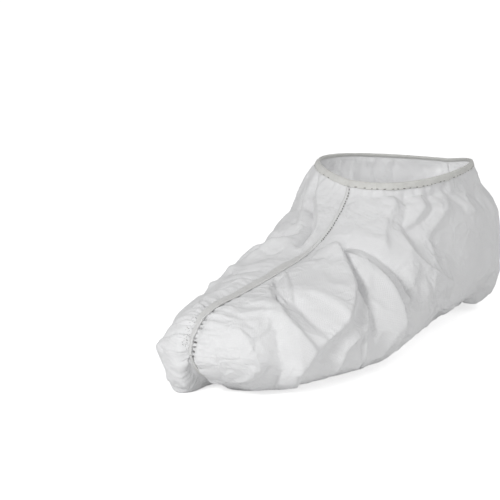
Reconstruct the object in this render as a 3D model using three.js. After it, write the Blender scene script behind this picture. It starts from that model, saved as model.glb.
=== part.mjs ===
// A disposable shoe cover. Two mirror-cut side panels of thin nonwoven cloth are sewn together along a seam
// that runs down the instep, round the toe, under the sole and up the heel. A narrow tape covers that seam,
// and an elastic binding gathers the ankle opening.
//
// Millimetres. The toe points to -X, the heel to +X, the sole lies on z = 0 and +Z is up.
// The near panel is on the -Y side and the far panel on the +Y side.
//
// The cover is a tube that bends at the instep: a row of STATIONS is one ring round the tube, from the toe tip
// to the rim of the ankle opening. A point on it has a station number and an angle, 0 degrees on the instep
// seam and 180 degrees on the sole or heel seam, counted the same way on both panels.
import * as THREE from 'three';

const CLOTH = 1.2; // thickness of the cloth walls
const CLEARANCE = 0.3; // gap between the two panels, and the least gap between other neighbours
const SEAM_Y = 3; // the seam plane; the near side bulges more, so it lies beside the middle

const SEAM_SINK = 2.8; // depth of the valley that the panels form along their seam
const SEAM_REACH = 12; // the valley ends this far from the seam plane
const TAPE_WIDTH = 4.8;
const TAPE_SHIFT = 0.8; // the tape lies this much more over the near panel
const TAPE_THICKNESS = 1.0;
const TAPE_LIFT = 1.2; // underside of the tape above the bottom of the valley
const TAPE_END_GAP = 0.6; // the tape ends this far below the binding

const BINDING_WALL = 0.9; // thickness of the folded binding
const BINDING_DEPTH = 4.2; // how far each leg of the binding reaches down from the rim

const SOLE_FLAT = 0.8; // whatever lies lower than this is pressed flat on the floor
const SOLE_ROUND = 4; // and the cloth is free of the floor from this height on
const SAG_TURN = 75; // the far side sags between the sole seam and this many degrees from it
const SIDE_POWER = 0.95; // below 1 makes the widest part of a ring a little flatter

const ROW_STEPS = 40; // facets from the toe tip to the rim
const COLUMN_ANGLES = [0, 4, 9, 16, 25, 34, 43, 52, 61, 70, 79, 88, 97, 107, 117, 128, 139, 150, 161, 170, 176, 180];

const PANEL_COLOUR = 0xf0f1f3;
const PANEL_ROUGHNESS = 0.85;
const TRIM_COLOUR = 0xe7e6dc;
const TRIM_ROUGHNESS = 0.7;

// One ring of the tube for each row. top and bottom are the ends of the ring on the seam plane, near and far
// its half widths, waist the share of its height at which it is widest. The powers bend its quarters: below 1
// makes one squarer, above 1 more pointed. farSag is how far the far side hangs below the seam under the toe,
// and rimWave lifts and drops the ring where the elastic pulls it out of its plane.
const STATION_COLUMNS = [
  'topX', 'topZ', 'bottomX', 'bottomZ', 'near', 'far', 'waist',
  'nearTopPower', 'farTopPower', 'nearLowPower', 'farLowPower', 'farSag', 'rimWave',
];
const STATIONS = [
  [-175, 28, -175, 28, 0, 0, 0.5, 1, 1, 1, 1, 0, 0],
  [-173, 37, -171, 20, 20, 16, 0.5, 0.95, 1.2, 1.2, 0.9, 8, 0],
  [-167, 44, -163, 12, 34, 27, 0.48, 0.92, 1.7, 1.3, 0.8, 13, 0],
  [-157, 51, -151, 6, 45, 34, 0.46, 0.92, 1.7, 1.2, 0.7, 9, 0],
  [-142, 55, -134, 0, 55, 39, 0.44, 0.95, 1.6, 0.95, 0.6, 0, 0],
  [-118, 57, -112, 0, 63, 45, 0.42, 0.95, 1.3, 0.6, 0.55, 0, 0],
  [-91, 60, -82, 0, 69, 49, 0.4, 0.95, 1, 0.48, 0.55, 0, 0],
  [-62, 64, -50, 0, 71, 54, 0.38, 0.95, 0.9, 0.42, 0.55, 0, 0],
  [-36, 68, -16, 0, 69, 59, 0.36, 0.95, 0.75, 0.6, 0.55, 0, 0],
  [-14, 76, 22, 0, 65, 63, 0.36, 1, 0.7, 0.75, 0.55, 0, 0],
  [-5, 81, 62, 0, 60, 65, 0.38, 1, 0.7, 0.78, 0.55, 0, 0],
  [0, 85, 102, 0, 57, 65, 0.42, 1, 0.7, 0.75, 0.6, 0, 0],
  [4, 88, 146, 0, 55, 64, 0.46, 1, 0.7, 0.75, 0.7, 0, 0],
  [7, 91, 175, 26, 56, 62, 0.5, 1, 0.7, 0.75, 0.8, 0, 0.5],
  [10, 94, 177, 60, 54, 59, 0.5, 1, 0.7, 0.85, 0.85, 0, 1],
  [13, 98, 165, 83, 42, 55, 0.5, 1, 0.75, 0.9, 0.9, 0, 2],
  [16, 106, 152, 100, 42, 49, 0.5, 1, 0.9, 0.95, 0.95, 0, 2.5],
];
const RIM_STATION = STATIONS.length - 1;
const RIM_WAVE_TURN = 315; // degrees round from the instep, over the near side, to the crest of the wave
const NEAR_RISE = 1; // how much of the wave also lifts the near flank of the rim
const FAR_RISE = 2.4; // and the far flank

// The broad folds and dents. Each runs over three points, given as station and angle, and stands out of the
// panel by height, or into it where that is negative. width is the distance at which it has died away by
// two thirds.
const FOLD_COLUMNS = ['station0', 'angle0', 'station1', 'angle1', 'station2', 'angle2', 'width', 'height'];
const NEAR_FOLDS = [
  [8, 20, 7.75, 55, 7.25, 90, 7, 5],
  [8.75, 15, 9, 35, 8.75, 65, 7, -5],
  [8, 15, 6.5, 50, 5, 75, 6, 4.5],
  [8.25, 15, 7.25, 40, 6.5, 80, 5, -3.5],
  [6.75, 60, 6.25, 80, 6, 105, 5, 2.5],
  [6, 80, 5.5, 90, 5.25, 105, 5, 2.5],
  [5.5, 30, 5.25, 50, 5, 80, 12, -4.5],
  [6.25, 5, 5.75, 10, 5, 25, 6, -3],
  [5.5, 15, 4.5, 40, 4.5, 80, 7, 3.5],
  [4, 50, 3.5, 80, 3.75, 130, 8, -3],
  [2.75, 40, 2.5, 70, 2.75, 115, 8, 2.5],
  [3, 140, 3.75, 130, 4, 110, 9, 3],
  [15.5, 40, 13, 30, 9.5, 35, 6, 3],
  [15.5, 60, 14, 50, 12, 40, 6, 3],
  [11.5, 40, 10.25, 55, 10.75, 85, 7, 3],
  [11, 85, 10.75, 90, 10.25, 100, 6, 2.5],
  [15, 80, 14, 65, 12.5, 55, 6, 2],
  [9.5, 90, 10, 105, 10.75, 115, 8, 2],
  [15, 120, 13.5, 120, 12.5, 125, 10, 2.5],
];
const FAR_FOLDS = [
  [15.5, 25, 10.5, 15, 8, 10, 6, 2.5],
  [15, 55, 13.5, 40, 10.25, 30, 6, -2.5],
  [5, 30, 5.5, 20, 5.75, 15, 6, 2],
  [7, 50, 6.75, 25, 7, 15, 6, 2],
  [8.25, 20, 7.75, 55, 7.5, 95, 7, 5],
  [9, 25, 9, 45, 8.5, 75, 8, -5],
  [8, 25, 6.75, 55, 5.5, 85, 7, 4.5],
  [8.25, 25, 7.25, 50, 6.5, 85, 5, -3.5],
  [5.5, 40, 5, 60, 5, 85, 12, -4],
  [4.75, 35, 4.25, 60, 4.5, 90, 8, 3],
  [2, 75, 2.5, 90, 3, 105, 8, 2.5],
  [11.5, 45, 10.25, 60, 11, 85, 7, 3],
  [15.5, 65, 13.5, 60, 11.75, 50, 6, 3],
  [15.5, 110, 14.25, 105, 13.25, 105, 7, 2.5],
  [7.5, 120, 7.5, 110, 7.75, 100, 8, 2.5],
];
const FOLD_SAMPLES = 9; // points along a fold from which distances are measured
const FOLD_SEAM_FADE = [5, 16]; // folds grow from nothing between these distances from the seam plane
const RIM_FADE = [14.4, 15.4]; // folds and the seam valley end between these stations
const FOLD_SOLE_FADE = [0, 8]; // and stay off the sole, between these heights

function namedRow(columns, values) {
  return Object.fromEntries(columns.map((name, i) => [name, values[i]]));
}

function smoothStep(value, from, to) {
  const share = THREE.MathUtils.clamp((value - from) / (to - from), 0, 1);
  return share * share * (3 - 2 * share);
}

// The slope of a column at a row: the harmonic mean of the steps on both sides, so a curve never overshoots.
function slopeAt(column, row) {
  const before = row > 0 ? STATIONS[row][column] - STATIONS[row - 1][column] : null;
  const after = row < RIM_STATION ? STATIONS[row + 1][column] - STATIONS[row][column] : null;
  if (before === null) return after;
  if (after === null) return before;
  return before * after > 0 ? (2 * before * after) / (before + after) : 0;
}

// Every column at a station between the rows, by a cubic curve through them.
function ringAt(station) {
  const row = Math.min(Math.floor(station), RIM_STATION - 1);
  const t = station - row;
  const values = STATION_COLUMNS.map((_, column) => {
    const here = STATIONS[row][column];
    const next = STATIONS[row + 1][column];
    return (
      (2 * t ** 3 - 3 * t ** 2 + 1) * here +
      (t ** 3 - 2 * t ** 2 + t) * slopeAt(column, row) +
      (3 * t ** 2 - 2 * t ** 3) * next +
      (t ** 3 - t ** 2) * slopeAt(column, row + 1)
    );
  });
  return namedRow(STATION_COLUMNS, values);
}

// A point of the smooth tube, before seam valley and folds. side is 1 on the near panel and -1 on the far one.
function tubePoint(station, angle, side) {
  const ring = ringAt(station);
  const radians = THREE.MathUtils.degToRad(angle);
  const rise = Math.cos(radians);
  const spread = Math.sin(radians);
  const [halfWidth, topPower, lowPower, sag] =
    side > 0
      ? [ring.near, ring.nearTopPower, ring.nearLowPower, 0]
      : [ring.far, ring.farTopPower, ring.farLowPower, ring.farSag];
  const share =
    rise > 0
      ? ring.waist + (1 - ring.waist) * rise ** topPower
      : ring.waist - ring.waist * (-rise) ** lowPower;
  const waveTurn = 2 * (side * radians - THREE.MathUtils.degToRad(RIM_WAVE_TURN));
  const wave = ring.rimWave * (Math.cos(waveTurn) + (side > 0 ? NEAR_RISE : FAR_RISE) * spread);
  const fromSole = Math.min((180 - angle) / SAG_TURN, 1);
  const lift = wave - sag * (4 * fromSole * (1 - fromSole)) ** 3;
  const height = ring.bottomZ + (ring.topZ - ring.bottomZ) * share + lift;
  return new THREE.Vector3(
    ring.bottomX + (ring.topX - ring.bottomX) * share,
    SEAM_Y - side * (CLEARANCE / 2 + halfWidth * Math.max(spread, 0) ** SIDE_POWER),
    height * smoothStep(height, SOLE_FLAT, SOLE_ROUND),
  );
}

// Depth of the valley along the seam: a smooth dip that ends SEAM_REACH from the seam plane and at the rim.
function seamSink(point, station) {
  const share = Math.min(Math.abs(point.y - SEAM_Y) / SEAM_REACH, 1);
  return SEAM_SINK * (1 - share ** 2) ** 2 * (1 - smoothStep(station, ...RIM_FADE));
}

// A fold as the row of points that it runs over, on the smooth tube.
function foldLine(values, side) {
  const fold = namedRow(FOLD_COLUMNS, values);
  const through = (start, middle, end, t) =>
    (1 - t) * (1 - 2 * t) * start + 4 * t * (1 - t) * middle + t * (2 * t - 1) * end;
  const points = [];
  for (let i = 0; i < FOLD_SAMPLES; i += 1) {
    const t = i / (FOLD_SAMPLES - 1);
    points.push(
      tubePoint(
        through(fold.station0, fold.station1, fold.station2, t),
        through(fold.angle0, fold.angle1, fold.angle2, t),
        side,
      ),
    );
  }
  return { points, width: fold.width, height: fold.height };
}

function distanceToLine(point, points) {
  const nearest = new THREE.Vector3();
  let least = Infinity;
  for (let i = 0; i + 1 < points.length; i += 1) {
    new THREE.Line3(points[i], points[i + 1]).closestPointToPoint(point, true, nearest);
    least = Math.min(least, nearest.distanceTo(point));
  }
  return least;
}

// How far all the folds together move a point of the tube along its outward normal.
function foldHeight(point, station, lines) {
  const seamDistance = Math.abs(point.y - SEAM_Y);
  const fade =
    smoothStep(seamDistance, ...FOLD_SEAM_FADE) *
    smoothStep(point.z, ...FOLD_SOLE_FADE) *
    (1 - smoothStep(station, ...RIM_FADE));
  if (fade === 0) return 0;
  return lines.reduce((sum, line) => {
    const reach = distanceToLine(point, line.points) / line.width;
    return sum + line.height * Math.exp(-(reach ** 2));
  }, 0) * fade;
}

// Outward unit normals of a grid of points, the mean of the facets round each one. On the seam plane they
// have no sideways part, so that both panels have the same edge there.
function gridNormals(grid, side) {
  const last = { row: grid.length - 1, column: grid[0].length - 1 };
  return grid.map((points, row) =>
    points.map((point, column) => {
      const along = grid[Math.min(row + 1, last.row)][column].clone();
      along.sub(grid[Math.max(row - 1, 0)][column]);
      const around = points[Math.min(column + 1, last.column)].clone();
      around.sub(points[Math.max(column - 1, 0)]);
      const normal = along.cross(around).multiplyScalar(-side);
      if (row === 0) normal.set(-1, 0, 0);
      if (column === 0 || column === last.column) normal.y = 0;
      return normal.normalize();
    }),
  );
}

// The two skins of a panel, as rows of points from the toe to the rim: outside, the tube with its valley and
// folds, and inside, the same moved inwards by the cloth.
function panelSkins(side, folds) {
  const lines = folds.map((values) => foldLine(values, side));
  const stations = Array.from({ length: ROW_STEPS + 1 }, (_, i) => (i * RIM_STATION) / ROW_STEPS);
  const tube = stations.map((station) => COLUMN_ANGLES.map((angle) => tubePoint(station, angle, side)));
  const normals = gridNormals(tube, side);
  const outside = tube.map((points, row) =>
    points.map((point, column) => {
      const outward = foldHeight(point, stations[row], lines) - seamSink(point, stations[row]);
      return point.clone().addScaledVector(normals[row][column], outward);
    }),
  );
  const cloth = gridNormals(outside, side);
  const inside = outside.map((points, row) =>
    points.map((point, column) => point.clone().addScaledVector(cloth[row][column], -CLOTH)),
  );
  return { outside, inside };
}

function solidMesh(name, positions, triangles, colour, roughness) {
  const geometry = new THREE.BufferGeometry();
  geometry.setAttribute('position', new THREE.Float32BufferAttribute(positions.flatMap((p) => p.toArray()), 3));
  geometry.setIndex(triangles.flat());
  geometry.computeVertexNormals();
  const material = new THREE.MeshStandardMaterial({ color: colour, roughness, metalness: 0 });
  const mesh = new THREE.Mesh(geometry, material);
  mesh.name = name;
  return mesh;
}

// One side panel: its two skins and the edges between them, along the seam and round the rim. The first row of
// a skin is the single point at the toe tip.
function sidePanel(name, side, { outside, inside }) {
  const columns = COLUMN_ANGLES.length;
  const positions = [];
  const number = (grid) =>
    grid.map((points, row) => {
      if (row === 0) {
        positions.push(points[0]);
        return points.map(() => positions.length - 1);
      }
      return points.map((point) => positions.push(point) - 1);
    });
  const skins = [number(outside), number(inside)];
  const triangles = [];
  const quad = (a, b, c, d) => {
    const pieces = side > 0 ? [[a, c, b], [a, d, c]] : [[a, b, c], [a, c, d]];
    triangles.push(...pieces.filter(([i, j, k]) => i !== j && j !== k && k !== i));
  };
  skins.forEach((skin, which) => {
    for (let row = 0; row < ROW_STEPS; row += 1) {
      for (let column = 0; column + 1 < columns; column += 1) {
        const corners = [
          skin[row][column], skin[row + 1][column], skin[row + 1][column + 1], skin[row][column + 1],
        ];
        quad(...(which === 0 ? corners : corners.reverse()));
      }
    }
  });
  const [outer, inner] = skins;
  for (let row = 0; row < ROW_STEPS; row += 1) {
    quad(outer[row][0], inner[row][0], inner[row + 1][0], outer[row + 1][0]);
    const last = columns - 1;
    quad(outer[row][last], outer[row + 1][last], inner[row + 1][last], inner[row][last]);
  }
  for (let column = 0; column + 1 < columns; column += 1) {
    quad(
      outer[ROW_STEPS][column], inner[ROW_STEPS][column],
      inner[ROW_STEPS][column + 1], outer[ROW_STEPS][column + 1],
    );
  }
  return solidMesh(name, positions, triangles, PANEL_COLOUR, PANEL_ROUGHNESS);
}

// The place that lies a given distance down a column of a skin, measured along the cloth from the rim: the
// point, and the first row below it.
function belowRim(skin, column, distance) {
  let left = distance;
  for (let row = ROW_STEPS; row > 0; row -= 1) {
    const here = skin[row][column];
    const below = skin[row - 1][column];
    const step = here.distanceTo(below);
    if (step >= left) return { point: here.clone().lerp(below, left / step), row: row - 1 };
    left -= step;
  }
  throw new Error('the column is shorter than the distance');
}

// Joins a row of equal sections, each a closed loop of points, into one solid. The row ends in two flat caps,
// or runs round into itself.
function loftedSolid(name, sections, closed, colour) {
  const count = sections[0].length;
  const positions = sections.flat();
  const triangles = [];
  const steps = closed ? sections.length : sections.length - 1;
  for (let step = 0; step < steps; step += 1) {
    const here = step * count;
    const next = ((step + 1) % sections.length) * count;
    for (let i = 0; i < count; i += 1) {
      const j = (i + 1) % count;
      triangles.push([here + i, here + j, next + j], [here + i, next + j, next + i]);
    }
  }
  if (!closed) {
    const end = (sections.length - 1) * count;
    for (let i = 1; i + 1 < count; i += 1) {
      triangles.push([0, i + 1, i], [end, end + i, end + i + 1]);
    }
  }
  return solidMesh(name, positions, triangles, colour, TRIM_ROUGHNESS);
}

// The tape over the seam: a flat strip in the valley, from the front of the rim down the instep, round the toe,
// under the sole and up the heel. It stops just below the binding at both ends.
function seamTape(name, grid) {
  const normals = gridNormals(grid, 1);
  const last = COLUMN_ANGLES.length - 1;
  const [front, rear] = [0, last].map((column) => belowRim(grid, column, BINDING_DEPTH + TAPE_END_GAP));
  const route = [[front.point, normals[front.row][0]]];
  for (let row = front.row; row >= 0; row -= 1) route.push([grid[row][0], normals[row][0]]);
  for (let row = 1; row <= rear.row; row += 1) route.push([grid[row][last], normals[row][last]]);
  route.push([rear.point, normals[rear.row][last]]);
  const sections = route.map(([point, normal]) => {
    const corner = (height, across) =>
      new THREE.Vector3(point.x, SEAM_Y + across, point.z).addScaledVector(normal, height);
    const top = TAPE_LIFT + TAPE_THICKNESS;
    const nearEdge = -TAPE_WIDTH / 2 - TAPE_SHIFT;
    const farEdge = TAPE_WIDTH / 2 - TAPE_SHIFT;
    return [
      corner(TAPE_LIFT, nearEdge), corner(top, nearEdge), corner(top, farEdge), corner(TAPE_LIFT, farEdge),
    ];
  });
  return loftedSolid(name, sections, false, TRIM_COLOUR);
}

// The binding: a strip folded over the rim, an upside-down U in section, once round the opening. It has one
// section at each column of the panels, so that its legs run along their facets.
function ankleBinding(name, near, far) {
  const last = COLUMN_ANGLES.length - 1;
  const turn = [
    ...COLUMN_ANGLES.map((_, column) => [near, column]),
    ...COLUMN_ANGLES.slice(1, last).map((_, column) => [far, last - 1 - column]),
  ];
  const sections = turn.map(([panel, column]) => {
    const edge = [panel.outside, panel.inside].map((skin) => {
      const rim = skin[ROW_STEPS][column].clone();
      const down = belowRim(skin, column, BINDING_DEPTH).point.sub(rim).normalize();
      if (column === 0 || column === last) rim.y = SEAM_Y;
      return { rim, down };
    });
    const [outer, inner] = edge;
    const out = outer.rim.clone().sub(inner.rim).normalize();
    const at = ({ rim, down }, outwards, upwards) =>
      rim.clone().addScaledVector(out, outwards).addScaledVector(down, -upwards);
    const face = CLEARANCE + BINDING_WALL;
    return [
      at(inner, -CLEARANCE, CLEARANCE), at(inner, -CLEARANCE, -BINDING_DEPTH),
      at(inner, -face, -BINDING_DEPTH), at(inner, -face, face),
      at(outer, face, face), at(outer, face, -BINDING_DEPTH),
      at(outer, CLEARANCE, -BINDING_DEPTH), at(outer, CLEARANCE, CLEARANCE),
    ];
  });
  return loftedSolid(name, sections, true, TRIM_COLOUR);
}

const near = panelSkins(1, NEAR_FOLDS);
const far = panelSkins(-1, FAR_FOLDS);
const shoeCover = new THREE.Group();
shoeCover.add(
  sidePanel('near_panel', 1, near),
  sidePanel('far_panel', -1, far),
  seamTape('seam_tape', near.outside),
  ankleBinding('ankle_binding', near, far),
);

export default shoeCover;
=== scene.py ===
"""A disposable shoe cover of thin white nonwoven cloth: two gathered side panels, a taped seam and an
elastic rim.

The shapes are worked out in millimetres and put into the meshes in metres. The toe points to -X, the
sole lies on z = 0, the near panel is on the -Y side and the far panel on the +Y side.
"""

import math

import bmesh
import bpy
import numpy as np
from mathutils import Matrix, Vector


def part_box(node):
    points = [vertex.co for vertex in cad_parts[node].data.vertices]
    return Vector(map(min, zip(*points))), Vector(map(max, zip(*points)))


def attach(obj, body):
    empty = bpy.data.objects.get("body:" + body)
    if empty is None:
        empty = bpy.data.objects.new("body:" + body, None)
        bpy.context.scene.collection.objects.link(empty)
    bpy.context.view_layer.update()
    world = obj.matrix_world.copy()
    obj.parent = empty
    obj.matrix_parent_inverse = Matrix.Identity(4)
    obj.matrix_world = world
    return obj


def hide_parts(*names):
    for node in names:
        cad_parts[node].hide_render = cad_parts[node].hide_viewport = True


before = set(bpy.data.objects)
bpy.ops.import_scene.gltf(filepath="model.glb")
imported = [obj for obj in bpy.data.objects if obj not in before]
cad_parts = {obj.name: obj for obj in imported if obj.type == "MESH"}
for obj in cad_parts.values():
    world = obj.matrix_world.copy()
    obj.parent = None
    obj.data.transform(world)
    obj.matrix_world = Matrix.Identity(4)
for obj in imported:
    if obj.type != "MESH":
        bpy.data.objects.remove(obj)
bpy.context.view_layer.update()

MM = 0.001
TINY = 1e-9
NEAR, FAR = 1, -1
SIDE_NAME = {NEAR: "near", FAR: "far"}
SEAM_Y = (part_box("near_panel")[1].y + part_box("far_panel")[0].y) / 2 / MM


# ---------------- small helpers

def named_columns(names, rows):
    """A table as one array for each of its named columns."""
    return dict(zip(names, np.array(rows, float).T))


def column_at(table, name, place):
    """A column of a table at each place, by straight steps between its rows."""
    return np.interp(place, table["place"], table[name])


def smooth_step(value, start=0.0, end=1.0):
    """0 before start, 1 after end and 3t^2 - 2t^3 between them."""
    t = np.clip((value - start) / (end - start), 0.0, 1.0)
    return t * t * (3 - 2 * t)


def unit(vectors):
    """The vectors divided by their length."""
    return vectors / np.maximum(np.linalg.norm(vectors, axis=-1, keepdims=True), TINY)


def lengths_along(points):
    """For each of a row of points, the sum of the steps from the first one to it."""
    return np.concatenate([[0], np.cumsum(np.linalg.norm(np.diff(points, axis=0), axis=-1))])


def between_rows(grid, row, column):
    """A grid's points at places between its rows: low * (1 - t) + high * t."""
    low = np.floor(row).astype(int).clip(0, len(grid) - 2)
    t = (row - low)[..., None]
    return grid[low, column] * (1 - t) + grid[low + 1, column] * t


def wander(along, amount, pitch, seed):
    """A smooth random line between -amount and amount: seeded values one pitch apart, blended with
    3t^2 - 2t^3."""
    values = np.random.default_rng(seed).uniform(-1, 1, int(along.max() / pitch) + 3)
    low = np.floor(along / pitch).astype(int)
    return amount * (values[low] + (values[low + 1] - values[low]) * smooth_step(along / pitch - low))


# ---------------- the tube that both panels follow

# One ring of the tube for each row, from the toe tip to the rim of the ankle opening. top and bottom are
# the ends of the ring on the seam plane, near and far its half widths, waist the share of its height at
# which it is widest. A power below 1 makes that part of the ring squarer. far_sag is how far the far side
# hangs below the seam under the toe, and wave lifts and drops the rim out of its plane.
RING_COLUMNS = ("top_x", "top_z", "bottom_x", "bottom_z", "near", "far", "waist",
                "near_top", "far_top", "near_low", "far_low", "far_sag", "wave")
RINGS = np.array([
    (-175, 28, -175, 28, 0, 0, 0.50, 1.00, 1.00, 1.00, 1.00, 0, 0),
    (-173, 37, -171, 20, 20, 16, 0.50, 0.95, 1.20, 1.20, 0.90, 8, 0),
    (-167, 44, -163, 12, 34, 27, 0.48, 0.92, 1.70, 1.30, 0.80, 13, 0),
    (-157, 51, -151, 6, 45, 34, 0.46, 0.92, 1.70, 1.20, 0.70, 9, 0),
    (-142, 55, -134, 0, 55, 39, 0.44, 0.95, 1.60, 0.95, 0.60, 0, 0),
    (-118, 57, -112, 0, 63, 45, 0.42, 0.95, 1.30, 0.60, 0.55, 0, 0),
    (-91, 60, -82, 0, 69, 49, 0.40, 0.95, 1.00, 0.48, 0.55, 0, 0),
    (-62, 64, -50, 0, 71, 54, 0.38, 0.95, 0.90, 0.42, 0.55, 0, 0),
    (-36, 68, -16, 0, 69, 59, 0.36, 0.95, 0.75, 0.60, 0.55, 0, 0),
    (-14, 76, 22, 0, 65, 63, 0.36, 1.00, 0.70, 0.75, 0.55, 0, 0),
    (-5, 81, 62, 0, 60, 65, 0.38, 1.00, 0.70, 0.78, 0.55, 0, 0),
    (0, 85, 102, 0, 57, 65, 0.42, 1.00, 0.70, 0.75, 0.60, 0, 0),
    (4, 88, 146, 0, 55, 64, 0.46, 1.00, 0.70, 0.75, 0.70, 0, 0),
    (7, 91, 175, 26, 56, 62, 0.50, 1.00, 0.70, 0.75, 0.80, 0, 0.5),
    (10, 94, 177, 60, 54, 59, 0.50, 1.00, 0.70, 0.85, 0.85, 0, 1),
    (13, 98, 165, 83, 42, 55, 0.50, 1.00, 0.75, 0.90, 0.90, 0, 2),
    (16, 106, 152, 100, 42, 49, 0.50, 1.00, 0.90, 0.95, 0.95, 0, 2.5),
], float)
RIM = len(RINGS) - 1
RIM_WAVE_TURN = math.radians(315)
RIM_RISE = {NEAR: 1.0, FAR: 2.4}  # how much the middle of each side of the rim stands up, as a share of wave
SIDE_POWER = 0.95
SAG_TURN = 75.0  # the far side sags between the sole seam and this many degrees from it
FLATTENED = (0.5, 4.0)  # heights between which the sole goes from pressed flat to its own round

# The cloth dips to the seam by depth * (1 - (across / reach)^2)^2, with its own reach on each side. The
# place runs from the rim (16) over the instep to the toe tip (0) and under the sole up to the heel (-16).
DIP = named_columns(("place", "depth", "near", "far"), [
    (-16.0, 2.4, 11, 11),
    (-4.0, 2.8, 11, 11),
    (-2.4, 3.6, 6, 8),
    (-0.6, 4.2, 6, 8),
    (0.2, 3.4, 6, 8),
    (1.2, 2.8, 7, 9),
    (2.6, 2.4, 7, 11),
    (3.4, 2.6, 8, 15),
    (7.4, 2.6, 9, 15),
    (8.6, 1.2, 8, 11),
    (9.8, 0.6, 7, 7),
    (16.0, 0.6, 7, 7),
])
DIP_OFF_RIM = (4.5, 14)

# near and far are how far the tape reaches onto each panel, ridge the height of the sewn ridge on the seam
# itself, flat the thickness of the tape beside it, and pale how far its cream fades to white.
TAPE = named_columns(("place", "near", "far", "ridge", "flat", "pale"), [
    (-16.0, 1.0, 1.3, 0.7, 0.30, 0.5),
    (-4.0, 1.0, 1.3, 0.7, 0.30, 0.3),
    (-3.2, 1.4, 2.0, 0.3, 0.50, 0.2),
    (-2.2, 0.9, 2.0, 0.5, 0.50, 0.3),
    (-0.6, 0.6, 1.4, 0.7, 0.40, 0.6),
    (0.0, 0.7, 1.5, 0.9, 0.40, 0.9),
    (1.2, 0.9, 1.9, 1.1, 0.50, 0.9),
    (2.2, 0.9, 2.6, 1.0, 0.60, 0.8),
    (3.0, 0.9, 4.2, 0.4, 0.80, 0.6),
    (3.6, 0.9, 5.0, 0.15, 0.85, 0.6),
    (7.2, 0.9, 5.2, 0.15, 0.85, 0.6),
    (8.0, 1.0, 3.0, 0.6, 0.50, 0.8),
    (8.6, 1.2, 1.6, 1.5, 0.20, 0.95),
    (16.0, 1.2, 1.6, 1.5, 0.20, 0.95),
])


def rings_at(station):
    """Every column of RINGS between its rows: a cubic through them whose slope at a row is 2ab / (a + b)
    of the steps a and b on both sides, or 0 where they turn back, so that it never overshoots."""
    step = np.diff(RINGS, axis=0)
    product = step[:-1] * step[1:]
    with np.errstate(divide="ignore", invalid="ignore"):
        inner = np.where(product > 0, 2 * product / (step[:-1] + step[1:]), 0.0)
    slope = np.vstack([step[:1], inner, step[-1:]])
    row = np.clip(np.floor(station).astype(int), 0, RIM - 1)
    t = (station - row)[..., None]
    columns = ((2 * t**3 - 3 * t**2 + 1) * RINGS[row] + (t**3 - 2 * t**2 + t) * slope[row]
               + (3 * t**2 - 2 * t**3) * RINGS[row + 1] + (t**3 - t**2) * slope[row + 1])
    return dict(zip(RING_COLUMNS, np.moveaxis(columns, -1, 0)))


def tube(station, angle, side):
    """A point of the tube. Up the ring it stands at the share waist + (1 - waist) cos(angle)^top_power
    of the way from the ring's bottom to its top, or waist - waist |cos(angle)|^low_power below its
    waist, and sideways at its half width times sin(angle)^SIDE_POWER. The rim is lifted by wave * (cos(2
    (angle - RIM_WAVE_TURN)) + rise sin(angle)), and under the toe the far side hangs lower by
    far_sag * 4t(1 - t)."""
    station, angle = np.broadcast_arrays(np.asarray(station, float), np.asarray(angle, float))
    ring = rings_at(station)
    name, waist = SIDE_NAME[side], ring["waist"]
    turn = np.radians(angle)
    rise, spread = np.cos(turn), np.clip(np.sin(turn), 0, 1)
    upper = waist + (1 - waist) * np.clip(rise, 0, 1) ** ring[name + "_top"]
    lower = waist - waist * np.clip(-rise, 0, 1) ** ring[name + "_low"]
    share = np.where(rise > 0, upper, lower)
    lift = ring["wave"] * (np.cos(2 * (side * turn - RIM_WAVE_TURN)) + RIM_RISE[side] * spread)
    if side == FAR:
        t = np.clip((180 - angle) / SAG_TURN, 0, 1)
        lift = lift - ring["far_sag"] * 4 * t * (1 - t)
    height = ring["bottom_z"] + (ring["top_z"] - ring["bottom_z"]) * share + lift
    return np.stack([
        ring["bottom_x"] + (ring["top_x"] - ring["bottom_x"]) * share,
        SEAM_Y - side * ring[name] * spread**SIDE_POWER,
        height * smooth_step(height, *FLATTENED),
    ], -1)


def grid_normals(points, side):
    """Unit normals of a grid: the cross product of its two directions, turned outwards. On the seam
    plane they have no sideways part, and at the toe tip they point forwards."""
    normal = np.cross(np.gradient(points, axis=0), np.gradient(points, axis=1)) * -side
    normal[0] = (-1, 0, 0)
    normal[:, [0, -1], 1] = 0
    return unit(normal)


# ---------------- folds, gathers and crumple

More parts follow.
